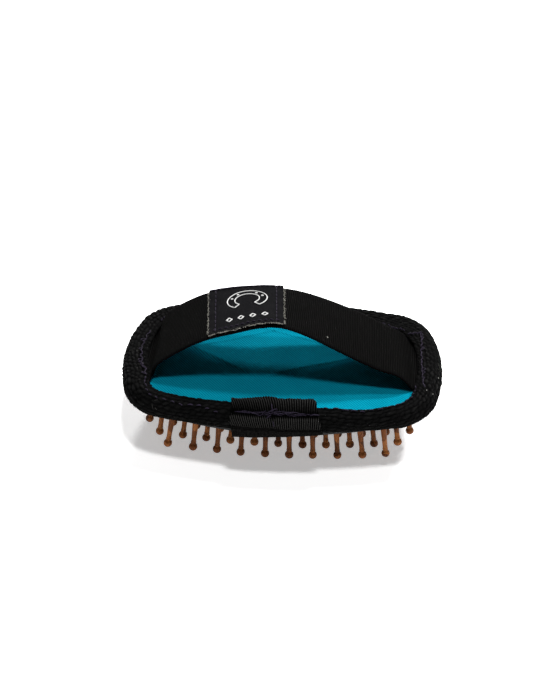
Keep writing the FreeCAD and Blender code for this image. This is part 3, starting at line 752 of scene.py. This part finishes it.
def build_strap():
    per_rib = 8
    columns = int(ARCH.length / RIB_PITCH * per_rib)
    across_count = 22
    half = STRAP_GAUGE / 2 - RIB_RISE * 0.5
    # the ring across the strap: over the top from the front edge, and back underneath
    share = np.linspace(-1, 1, across_count)
    ys = STRAP_EDGE * np.sign(share) * (1 - (1 - np.abs(share)) ** 1.25)
    thick = half * np.sqrt(np.clip(1 - (np.abs(ys) / STRAP_EDGE) ** 60, 0.02, 1))
    ring_y = np.concatenate([ys, ys[::-1]])
    ring_lift = np.concatenate([thick, -thick[::-1]])
    s = np.linspace(0, ARCH.length, columns)
    a, y = np.meshgrid(s, ring_y, indexing="ij")
    lift = np.broadcast_to(ring_lift, a.shape)
    side = np.sign(lift)
    rib = np.abs(np.sin(math.pi * (a / RIB_PITCH + 0.25 * (1 - side))))
    slack = 0.00035 * noise(a / 0.035, y / 0.045, 21) - 0.0010 * bell(a, 0.0085, 0.0035)
    edge_wave = 0.00012 * noise(a / 0.006, np.sign(y) * 3, 22)
    bow = -0.0005 * (y / STRAP_EDGE) ** 2 * smooth_step((0.05 - np.abs(a - ARCH.length / 2)) / 0.03)
    ends = smooth_step(a / 0.016) * smooth_step((ARCH.length - a) / 0.016)
    out = lift + side * (rib - 0.5) * RIB_RISE * 2
    ring = ARCH.point(a, y, out + (slack + bow) * ends)
    ring[..., 1] += edge_wave * (np.abs(y) / STRAP_EDGE) ** 8
    total = len(ring_y)
    faces = grid_faces(columns, total, False, True).tolist()
    faces.append(list(range(total)))
    faces.append(list(range((columns - 1) * total, columns * total))[::-1])
    uv = np.stack(np.broadcast_arrays(a, y), -1)
    squashed(add_mesh("hand_strap_grosgrain", ring, faces, GROSGRAIN, "strap_grosgrain",
                      replaces=["hand_strap"], uv=uv, relief=rib))


build_strap()


# --- label
LABEL_LOW, LABEL_HIGH = (np.array(c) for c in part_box("strap_label"))
LABEL_S = (ARCH.at_x(LABEL_LOW[0]), ARCH.at_x(LABEL_HIGH[0]))
LABEL_Y = (LABEL_LOW[1] + 0.0004, LABEL_HIGH[1])
LABEL_GAUGE = 0.00062
# it is sewn on a little askew: how far its front left, front right and back right corners lie over
LABEL_SKEW = (0.0047, 0.0024, -0.0002)
SEAM_U = 0.09  # where the stitching runs down its sides
UP = (0, 0, 1)


def label_point(u, v, lift=0.0):
    """u runs 0 to 1 to the right, v 0 to 1 from front to back, lift above the label's face."""
    u, v = np.asarray(u, float), np.asarray(v, float)
    front_left, front_right, back_right = LABEL_SKEW
    askew = front_left * (1 - u) * (1 - v) + front_right * u * (1 - v) + back_right * u * v
    s = LABEL_S[0] + (LABEL_S[1] - LABEL_S[0]) * u + askew
    y = LABEL_Y[0] + (LABEL_Y[1] - LABEL_Y[0]) * v
    waves = 0.00016 * np.sin(v * 31 + 3 * u) * (np.exp(-u / 0.08) + np.exp(-(1 - u) / 0.08))
    waves = waves + 0.0002 * noise(u * 2.2, v * 2.2, 31)
    return ARCH.point(s, y, STRAP_GAUGE / 2 + LABEL_GAUGE + waves + lift)


def build_label():
    u, v = np.meshgrid(np.linspace(0, 1, 90), np.linspace(0, 1, 120), indexing="ij")
    sewn = bell(u, SEAM_U, 0.018) + bell(u, 1 - SEAM_U, 0.018)
    hem = smooth_step((0.035 - v) / 0.02) + smooth_step((v - 0.955) / 0.02)
    top = label_point(u, v, -0.00018 * sewn + 0.00022 * hem)
    bottom = label_point(u, v, 0.00005 - LABEL_GAUGE)
    width, depth = LABEL_S[1] - LABEL_S[0], LABEL_Y[1] - LABEL_Y[0]
    uv = np.stack([u * width, v * depth], -1)
    piece = add_mesh("strap_label_cloth", *closed_sheet(top, bottom), LABEL, "label_cloth",
                     replaces=["strap_label"], uv=uv)
    squashed(piece)


def rough_line(points, seed):
    """A path through points, resampled every 0.4 mm and shaken like a hand-cut edge."""
    steps = np.linalg.norm(np.diff(points, axis=0), axis=1)
    s = np.concatenate([[0], np.cumsum(steps)])
    fine = np.linspace(0, s[-1], int(s[-1] / 0.0004))
    path = np.stack([np.interp(fine, s, points[:, k]) for k in range(3)], -1)
    local = np.random.default_rng(seed)
    shake = local.normal(0, 0.00020, path.shape)
    shake[1:-1] = (shake[:-2] + shake[1:-1] + shake[2:]) / 3
    return path + shake


def build_overlock():
    """Pale overlock thread round the label's left, front and right edges."""
    parts = Parts()
    count, out = 60, 0.012
    sides = [(np.full(count, -out), np.linspace(0.97, 0.0, count), 0.00026),
             (np.linspace(0.0, 1.0, count), np.full(count, -out), 0.00026),
             (np.full(count, 1 + out), np.linspace(0.0, 0.93, count), 0.00020)]
    for n, (u, v, radius) in enumerate(sides):
        for strand in range(3):
            drift = (strand - 1) * 0.006
            line = label_point(u + drift, v + drift * 0.7, -0.00005 + 0.0001 * strand)
            line = rough_line(line, 40 + 3 * n + strand)
            local = np.random.default_rng(60 + 3 * n + strand)
            start = 0
            while start < len(line) - 4:
                stop = start + int(local.integers(5, 14))
                run = line[start:stop]
                parts.thread(run, radius * (0.16 + 0.32 * local.random(len(run))), 6)
                start = stop + int(local.integers(1, 8))
        # loops that lock over the edge
        for t in np.linspace(0.01, 0.99, 24):
            k = int(t * (count - 1))
            jump = np.random.default_rng(1000 * n + k).uniform(-0.016, 0.016, 2)
            across = np.array([(0, -0.008), (0, 0), (0, 0.010)] if n == 1 else
                              [(-0.010, 0), (0, 0), (0.012, 0)])
            ends = across + [u[k], v[k]] + np.outer([0.5, 0, 1], jump)
            line = label_point(ends[:, 0], ends[:, 1], np.array([-0.0001, 0.00028, 0.0]))
            parts.thread(line, 0.00008, 5)
    squashed(parts.make("label_overlock_thread", PALE, "pale_thread", replaces=["label_overlock"]))


def woven_line(parts, u, v, width, closed=False):
    """A woven white line on the label."""
    parts.thread(label_point(u, v, 0.00004), width / 2, 8, closed)


def build_motif():
    """A plain horseshoe outline with four nail holes, and a row of small lozenges."""
    parts = Parts()
    inner_edge, holes = 0.62, 0.81  # as shares of the outer edge's reach

    def on_shoe(share, angle):
        return 0.52 + 0.27 * share * np.cos(angle), 0.655 + 0.205 * share * np.sin(angle)

    turn = np.radians(np.linspace(-52, 232, 60))
    for share in (1.0, inner_edge):
        woven_line(parts, *on_shoe(share, turn), 0.00052)
    for end in (-52, 232):
        woven_line(parts, *on_shoe(np.linspace(inner_edge, 1.0, 8), math.radians(end)), 0.00052)
    ring = np.linspace(0, 2 * math.pi, 14, endpoint=False)
    for angle in (20, 55, 125, 160):
        u, v = on_shoe(holes, math.radians(angle))
        woven_line(parts, u + 0.012 * np.cos(ring), v + 0.009 * np.sin(ring), 0.00045, True)
    corners = np.array([(1, 0), (0, 1), (-1, 0), (0, -1)])
    lozenge = np.linspace(corners, np.roll(corners, -1, 0), 5, endpoint=False)
    lozenge = lozenge.transpose(1, 0, 2).reshape(-1, 2) * (0.038, 0.040)
    for u in (0.28, 0.44, 0.60, 0.76):
        woven_line(parts, u + lozenge[:, 0], 0.235 + lozenge[:, 1], 0.00060, True)
    squashed(parts.make("label_motif", WHITE, "pale_thread"))


def stitch(parts, a, b, normal, radius, sides=7):
    """One stitch: a thread that comes up at a, lies over and goes down at b."""
    t = np.linspace(0, 1, 9)[:, None]
    bow = np.sin(t * math.pi)
    path = a + (b - a) * t + np.asarray(normal) * radius * (1.5 * bow**0.5 - 0.25)
    parts.thread(path, radius * (0.72 + 0.28 * bow[:, 0]), sides)


def loose_loop(parts, a, b, out, reach):
    """A slack thread that bows out sideways between two points."""
    t = np.linspace(0, 1, 11)[:, None]
    bow = np.sin(t * math.pi)
    path = a + (b - a) * t + np.asarray(out) * bow * reach + [0, 0, 0.0004] * bow
    parts.thread(path, 0.00020, 6)


def build_label_stitches():
    """Dashes down the label's two sides, and then along its back and front edges."""
    parts = Parts()
    for u in (SEAM_U, 1 - SEAM_U):
        for v in np.linspace(0.08, 0.92, 10):
            stitch(parts, label_point(u, v - 0.027), label_point(u, v + 0.027), UP, 0.00026)
    # place from front to back, first dash, how many, half a dash, radius
    for v, first, count, half, radius in ((0.972, 0.06, 13, 0.028, 0.00032),
                                          (0.072, 0.08, 12, 0.022, 0.00028)):
        for u in np.linspace(first, 1 - first, count):
            stitch(parts, label_point(u - half, v), label_point(u + half, v), UP, radius)
    squashed(parts.make("label_stitches", PURPLE, "purple_thread"))


build_label()
build_overlock()
build_motif()
build_label_stitches()


# --- threads on the pad
def on_webbing(distance, margin, lift=0.0):
    """A point on the webbing's top by its distance round the rim and out from the opening."""
    distance, margin = np.broadcast_arrays(np.asarray(distance, float), np.asarray(margin, float))
    points, normals = outline(distance)
    section = roll_section(section_at(lip_inset(points, normals)) + margin)
    return on_rim(points, normals, section, lift, top_scale(points, normals))


RIGHT_END = float(ARC_LENGTHS[0] + ARC_LENGTHS[1] / 2)  # where its middle lies


def at_end(side, y):
    """Distance round the rim of a place on the left (-1) or right (1) end."""
    return RIGHT_END + (0.0 if side > 0 else ROUND / 2) + side * y


def build_strap_stitches(name, side):
    """One uneven line of long stitches and loops that sews the strap's end through the webbing."""
    parts = Parts()
    local = np.random.default_rng(17 if side > 0 else 18)
    y = STRAP_EDGE if side > 0 else 0.016

    def margin(y):
        """The line runs straight across the strap while the webbing's edge curves."""
        across = y / STRAP_EDGE
        return 0.0018 + 0.0014 * across + 0.0036 * across**2 if side > 0 else 0.0031

    last = on_webbing(at_end(side, y), margin(y), 0.0003)
    turn = 1
    while y > -STRAP_EDGE - 0.002:
        y -= local.uniform(0.0016, 0.0036)
        turn = -turn
        here = on_webbing(at_end(side, y), margin(y) + turn * local.uniform(0.0001, 0.0007), 0.0002)
        sunk = local.random() < 0.34
        stitch(parts, last, here, (0, 0, -0.4 if sunk else 1), local.uniform(0.00022, 0.00034))
        if local.random() < 0.3:
            shift = local.normal(0, 0.00035, 3) * [1, 1, 0.2]
            stitch(parts, last + shift, here - shift, UP, 0.00024)
        if local.random() < 0.35:
            loose_loop(parts, last, here, (side, 0, 0), local.uniform(0.0008, 0.0020))
        last = here
    if side > 0:
        # the bar that starts the seam at the back corner
        back = at_end(side, STRAP_EDGE)
        for n in range(3):
            a = on_webbing(back + local.normal(0, 0.0003), 0.0010 + 0.0021 * n, 0.0003)
            b = on_webbing(back + local.normal(0, 0.0004), 0.0034 + 0.0021 * n, 0.0003)
            stitch(parts, a, b, UP, 0.00036)
    parts.make(name + "_sewn", PURPLE, "purple_thread", replaces=[name])


def build_edge_seam():
    """Running stitches near the webbing's inner edge, half sunk between the grains."""
    parts = Parts()
    local = np.random.default_rng(19)
    tab_low, tab_high = (c[0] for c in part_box("webbing_joint_tab"))
    count = int(ROUND / 0.0041)  # one stitch every 4.1 mm
    for s in np.arange(count) * ROUND / count:
        (x, y), _ = (part[0] for part in outline(np.array([s])))
        if y < 0 and tab_low - 0.003 < x < tab_high + 0.001:
            continue
        if abs(y) < STRAP_EDGE + 0.003:
            continue
        margin = 0.0020
        if y < 0 and x < 0:
            margin = (0.0052 - 0.0030 * smooth_step((-x - 0.060) / 0.008)
                      + 0.0022 * smooth_step((x + 0.036) / 0.010))
        elif y < 0:
            margin = 0.0011
        margin += local.normal(0, 0.00022)
        length = local.uniform(0.0014, 0.0028)
        a = on_webbing(s, margin, 0.00005)
        b = on_webbing(s + length, margin + local.normal(0, 0.0003), 0.00005)
        stitch(parts, a, b, (0, -0.3 if y < 0 else 0.2, 1), local.uniform(0.00024, 0.00032))
    parts.make("edge_seam_thread", PURPLE, "purple_thread", replaces=["edge_seam_stitches"])


def build_loose_fibres():
    """A few pale fibres caught in the weave."""
    parts = Parts()
    local = np.random.default_rng(29)
    # distance round the rim, how far out from the opening, how many
    places = [(at_end(1, -0.006), 0.0125, 8), (at_end(1, -0.002), 0.0100, 3),
              (at_end(-1, -0.004), 0.0062, 3), (at_end(-1, -0.052), 0.0085, 3)]
    for distance, margin, count in places:
        for _ in range(count):
            shift = local.normal(0, 0.0012, 4)
            a = on_webbing(distance + shift[0], margin + shift[1], 0.0005)
            b = on_webbing(distance + shift[0] + shift[2], margin + shift[1] + shift[3], 0.0004)
            stitch(parts, a, b, UP, 0.00008, sides=5)
    parts.make("loose_pale_fibres", FAINT, "pale_thread")


build_loose_fibres()
build_strap_stitches("strap_stitches_left", -1)
build_strap_stitches("strap_stitches_right", 1)
build_edge_seam()


# --- tape over the webbing's joint
TAB_LOW, TAB_HIGH = (np.array(c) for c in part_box("webbing_joint_tab"))
TAB_MIDDLE = (TAB_LOW[0] + TAB_HIGH[0]) / 2
TAB_WIDTH = TAB_HIGH[0] - TAB_LOW[0]
TAB_LIP, TAB_DROP, TAB_TAIL, TAB_GROW = 0.0112, 0.0006, 0.0066, 0.0002
TAB_FLAT = math.hypot(TAB_LIP - ROLL, TAB_DROP)
TAB_LENGTH = TAB_FLAT + (ROLL + TAB_GROW) * math.pi / 2 + TAB_TAIL
FRONT_S = float(ARC_LENGTHS[:7].sum() + ARC_LENGTHS[7] / 2)  # middle of the front side
# places along the tape from its inner edge: a ribbed roll, the sewn groove, a second roll, the fold
ROLL_1, GROOVE, ROLL_2, FOLD = 0.0046, 0.0101, 0.0132, 0.0160


def tab_point(u, w, lift=0.0):
    """u 0 to 1 along the rim, left to right; w metres from the inner edge over and down."""
    u, w = np.broadcast_arrays(np.asarray(u, float), np.asarray(w, float))
    t = w / TAB_LENGTH
    flare = MM * ((1 - u) * (-0.4 + 2.0 * t) + u * (-1.2 + 3.9 * t))
    s = FRONT_S + TAB_MIDDLE + (u - 0.5) * TAB_WIDTH + flare
    points, normals = outline(s)
    section = roll_section(w, TAB_GROW, TAB_LIP, TAB_DROP, tail=True)
    return on_rim(points, normals, section, lift)


def tab_lift(u, w):
    """How far the tape stands off the rim."""
    upper = 0.0011 * bell(w, ROLL_1, 0.0046)
    lower = 0.0012 * smooth_step((w - GROOVE - 0.0010) / 0.0014) * smooth_step((FOLD - w) / 0.0007)
    groove = -0.0006 * bell(w, GROOVE, 0.0012)
    tail = 0.0006 * smooth_step((w - FOLD) / 0.002)
    centre = bell(u, 0.47, 0.035)
    gather = -0.0005 * centre * (bell(w, ROLL_1, 0.004) + bell(w, ROLL_2, 0.003))
    pull = 0.00022 * np.sin(u * 27 + 400 * w) * bell(w, GROOVE, 0.0030)
    rough = 0.00022 * noise(u * 5, w / 0.006, 51)
    ribs = 0.00034 * (tab_ribs(u, w) - 0.5)
    return 0.0008 + upper + lower + groove + tail + gather + pull + rough + ribs


def tab_ribs(u, w):
    """The tape's cross ribs, 0 to 1. They fan out from the gathered middle and fade on the tail."""
    ribbed = smooth_step((FOLD + 0.0002 - w) / 0.0006)
    fan = -(w - GROOVE) * (520.0 * (1 - u) - 300.0 * u)
    wave = 0.5 + 0.5 * np.cos(2 * math.pi * (u * TAB_WIDTH / 0.00100 + fan))
    return 0.5 + (wave**1.9 - 0.5) * (0.15 + 0.85 * ribbed)


def tab_shaded_tone(u, w):
    """How pale the tape is, with painted light and shade: its two bulges are painted paler, a
    painted shadow lies just under the sewn groove and across the gathered middle, the rib crests
    come out paler than the gaps, and the tail is one even dark tone.
    """
    # painted shadow just under the sewn groove
    groove = bell(w, GROOVE + 0.0004, 0.0013)
    # painted light on the two bulges
    roll_light = 0.62 * bell(w, ROLL_1 - 0.0012, 0.0042) + 1.15 * bell(w, ROLL_2, 0.0024)
    tail = smooth_step((w - FOLD + 0.0004) / 0.0005)
    # painted shade across the gathered middle
    pinch_shade = bell(u, 0.47, 0.03) * bell(w, GROOVE, 0.006)
    tone = 0.22 + tab_ribs(u, w) * (0.25 + 0.75 * roll_light) - 0.35 * groove - 0.2 * pinch_shade
    return tone * (1 - tail) + 0.47 * tail


def build_tab():
    columns, rows = ((520, 96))
    u, w = np.meshgrid(np.linspace(0, 1, columns), np.linspace(0, TAB_LENGTH, rows), indexing="ij")
    side = np.sign(u - 0.5) * np.abs(2 * u - 1) ** 8
    ragged = 0.007 * noise(w / 0.0045, 0 * w, 52) * side
    lift = tab_lift(u, w)
    outer = tab_point(u + ragged, w, lift)
    inner = tab_point(u + ragged, w, 0.00015 + 0.35 * (lift - 0.0008) * (lift > 0.0008))
    frayed = smooth_step((0.0060 - w) / 0.0060)
    uneven = 0.00045 * noise(u * 9, 0 * u, 53)
    uneven = uneven - 0.0013 * bell(u, 0.44, 0.10) - 0.0008 * bell(u, 0.70, 0.03)
    shorten = (uneven + 0.0022 * smooth_step((0.30 - u) / 0.28)) * frayed
    outer[..., 1] -= shorten
    inner[..., 1] -= shorten
    points, faces = closed_sheet(outer, inner)
    faces = [f[::-1] for f in faces]
    # the tail's lower edge rises to the right
    rise = 0.0030 * u * smooth_step((w - FOLD) / (TAB_LENGTH - FOLD))
    points[:, 2] += np.resize(rise, len(points))
    add_mesh("webbing_joint_tape", points, faces, TAPE, "grosgrain_tape",
             replaces=["webbing_joint_tab"], uv=np.stack([w, u * TAB_WIDTH], -1),
             relief=tab_shaded_tone(u, w))


def build_tab_stitches():
    """Heavy crossed stitches pressed into the tape's groove, and a gather across its middle."""
    parts = Parts()
    local = np.random.default_rng(23)
    out = np.array([0, -0.55, 0.83])

    def on_tape(u, w, above):
        return tab_point(u, w, float(tab_lift(np.array(u), np.array(w))) + above)

    for n in range(46):
        u0 = local.uniform(-0.02, 0.93)
        u1 = min(u0 + local.uniform(0.05, 0.13), 1.01)
        spread = 0.0002 + 0.0008 * bell((u0 + u1) / 2, 0.45, 0.20)
        w0, w1 = GROOVE - 0.0002 + local.normal(0, spread, 2)
        stitch(parts, on_tape(u0, w0, 0.0), on_tape(u1, w1, 0.0), out,
               local.uniform(0.00015, 0.00030))
    for w0, reach in ((0.0060, 0.0022), (0.0075, 0.0020), (0.0128, 0.0016), (0.0140, 0.0018)):
        a = on_tape(0.47 + local.normal(0, 0.010), w0, 0.0001)
        b = on_tape(0.48 + local.normal(0, 0.012), w0 + reach, 0.0001)
        stitch(parts, a, b, out, 0.00024)
    parts.make("tab_stitches_sewn", PURPLE, "purple_thread", replaces=["tab_stitches"])


build_tab()
build_tab_stitches()


# --- wooden pins
PIN_GAP = 0.0012  # pins of a row are at least this far apart in x


def pin_axes(node):
    """(head, tip) of each pin of a row, read from its CAD solids."""
    points = np.array([v.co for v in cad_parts[node].data.vertices])
    points = points[np.argsort(points[:, 0])]
    gaps = np.where(np.diff(points[:, 0]) > PIN_GAP)[0] + 1
    axes = []
    for pin in np.split(points, gaps):
        spread = np.unique(np.round(pin, 6), axis=0)
        middle = (spread.max(0) + spread.min(0)) / 2
        _, _, directions = np.linalg.svd(spread - middle, full_matrices=False)
        along = directions[0] * (-1 if directions[0][2] > 0 else 1)
        origin = spread.mean(0)
        reach = (spread - origin) @ along
        axes.append((origin + along * reach.min(), origin + along * reach.max()))
    return axes


# a pin's radius at shares of its length, from its head down to where the ball begins
PIN_PROFILE = [(0.0000, 0.00), (0.0021, 0.00), (0.0023, 0.02), (0.0023, 0.05), (0.0021, 0.062),
               (0.00150, 0.066), (0.00150, 0.14), (0.00146, 0.22), (0.00138, 0.34),
               (0.00128, 0.48), (0.00118, 0.60), (0.00112, 0.70), (0.00114, 0.755),
               (0.00122, 0.785), (0.00132, 0.800), (0.00120, 0.812)]


def build_pins(number):
    """A row of turned pins: waisted shafts, a small collar and a ball, none quite alike."""
    parts = Parts()
    local = np.random.default_rng(100 + number)
    sides = 18
    turns = np.arange(sides) / sides * 2 * math.pi
    for head, tip in pin_axes(f"pin_row_{number}"):
        axis = tip - head
        length = np.linalg.norm(axis)
        axis /= length
        ball = 0.00198 * local.uniform(0.955, 1.0)
        lean = local.normal(0, 0.010, 2)
        side = np.cross(axis, [0, 1, 0])
        side /= np.linalg.norm(side)
        other = np.cross(axis, side)
        stations = [(r, t * length) for r, t in PIN_PROFILE]
        start = math.asin(0.00118 / ball)  # where the shaft runs into the ball
        for turn in np.linspace(start, math.pi, 11):
            stations.append((ball * math.sin(turn), length - ball - ball * math.cos(turn)))
        oval = local.uniform(0, 0.03)
        twist = local.uniform(0, 2 * math.pi)
        rings = []
        for radius, along in stations:
            bend = np.clip(along / length - 0.25, 0, 1) * length
            middle = head + axis * along + (side * lean[0] + other * lean[1]) * bend
            wobble = 1 + oval * np.cos(2 * turns + twist) + 0.012 * np.sin(3 * turns + along * 900)
            rings.append(middle + radius * (np.outer(np.cos(turns) * wobble, side)
                                            + np.outer(np.sin(turns) * wobble, other)))
        faces = grid_faces(len(rings), sides, False, True).tolist()
        parts.add(np.concatenate(rings), [f[::-1] for f in faces])
    parts.make(f"turned_pins_{number}", WOOD, "pin_wood", body=f"pins_{number}",
               replaces=[f"pin_row_{number}"])


for number in range(1, 10):
    build_pins(number)


# --- floor, light and camera
def build_stage():
    s = Shader("pale_glowing_floor")
    tone = s.noise(3.0, 2.0)
    base = s.ramp(tone, [(0.3, grey(0.90)), (0.7, grey(0.93))])
    material = s.finish(base, 0.9)
    # the floor glows faintly: it lifts the brush's shadow on it and lights the pins and webbing
    # from beneath
    s.surface.inputs["Emission Color"].default_value = (1, 1, 1, 1)
    s.surface.inputs["Emission Strength"].default_value = 0.42
    mesh = bpy.data.meshes.new("studio_floor")
    front, depth, rise, bend, half_width = -2.2, 3.0, 2.6, 0.8, 3.0
    turns = np.linspace(0, math.pi / 2, 16)
    profile = [(front, 0.0)]
    profile += [(depth - bend + bend * math.sin(t), bend - bend * math.cos(t)) for t in turns]
    profile += [(depth, rise)]
    points = [(x, y, z) for y, z in profile for x in (-half_width, half_width)]
    faces = [(2 * n, 2 * n + 1, 2 * n + 3, 2 * n + 2) for n in range(len(profile) - 1)]
    mesh.from_pydata(points, [], faces)
    floor = bpy.data.objects.new("studio_floor", mesh)
    bpy.context.scene.collection.objects.link(floor)
    floor.data.materials.append(material)


AIM = Vector((0, 0, RIM))


def area_light(name, direction, share, size=0.30):
    """A soft light on the brush. share is how bright it makes level white paper, 1 being full."""
    distance = 2.4
    away = Vector(direction).normalized()
    light = bpy.data.lights.new(name, "AREA")
    light.shape = "SQUARE"
    light.size = size
    light.energy = share * math.pi**2 * distance**2 / away.z
    lamp = bpy.data.objects.new(name, light)
    lamp.location = AIM + away * distance
    lamp.rotation_euler = (-away).to_track_quat("-Z", "Y").to_euler()
    bpy.context.scene.collection.objects.link(lamp)


def build_lights():
    area_light("soft_overhead_front", (0.10, -0.30, 1.0), 0.55)
    area_light("soft_overhead_back", (0.16, 0.26, 1.0), 0.53)
    area_light("soft_back_high", (0.66, 0.72, 1.0), 0.76)
    area_light("soft_back_low", (-0.30, 1.45, 1.0), 0.33, size=0.24)
    world = bpy.data.worlds.new("studio")
    world.use_nodes = True
    sky = world.node_tree.nodes["Background"].inputs
    sky["Color"].default_value = (1, 1, 1, 1)
    sky["Strength"].default_value = 0.06
    bpy.context.scene.world = world


def build_camera():
    """Seen from the front and a touch from the right, about 31 degrees above the horizon."""
    elevation, yaw, roll, distance = math.radians(31.0), 0.044, 0.0228, 0.700
    focal_pixels, frame_height, sensor = 1484.0, 700.0, 36.0
    shift_right, shift_up = -2.7, 13.35  # in pixels
    camera = bpy.data.cameras.new("camera")
    camera.sensor_fit = "VERTICAL"
    camera.sensor_height = sensor
    camera.lens = focal_pixels / frame_height * sensor
    camera.shift_x, camera.shift_y = shift_right / frame_height, shift_up / frame_height
    camera.clip_start, camera.clip_end = 0.05, 20.0
    seen = bpy.data.objects.new("camera", camera)
    away = Vector((math.sin(yaw), -math.cos(yaw), math.tan(elevation))).normalized()
    seen.location = AIM + away * distance
    turn = (-away).to_track_quat("-Z", "Y").to_matrix().to_4x4()
    seen.rotation_euler = (turn @ Matrix.Rotation(roll, 4, "Z")).to_euler()
    bpy.context.scene.collection.objects.link(seen)
    bpy.context.scene.camera = seen


build_stage()
build_lights()
build_camera()
bpy.context.scene.view_settings.view_transform = "Standard"
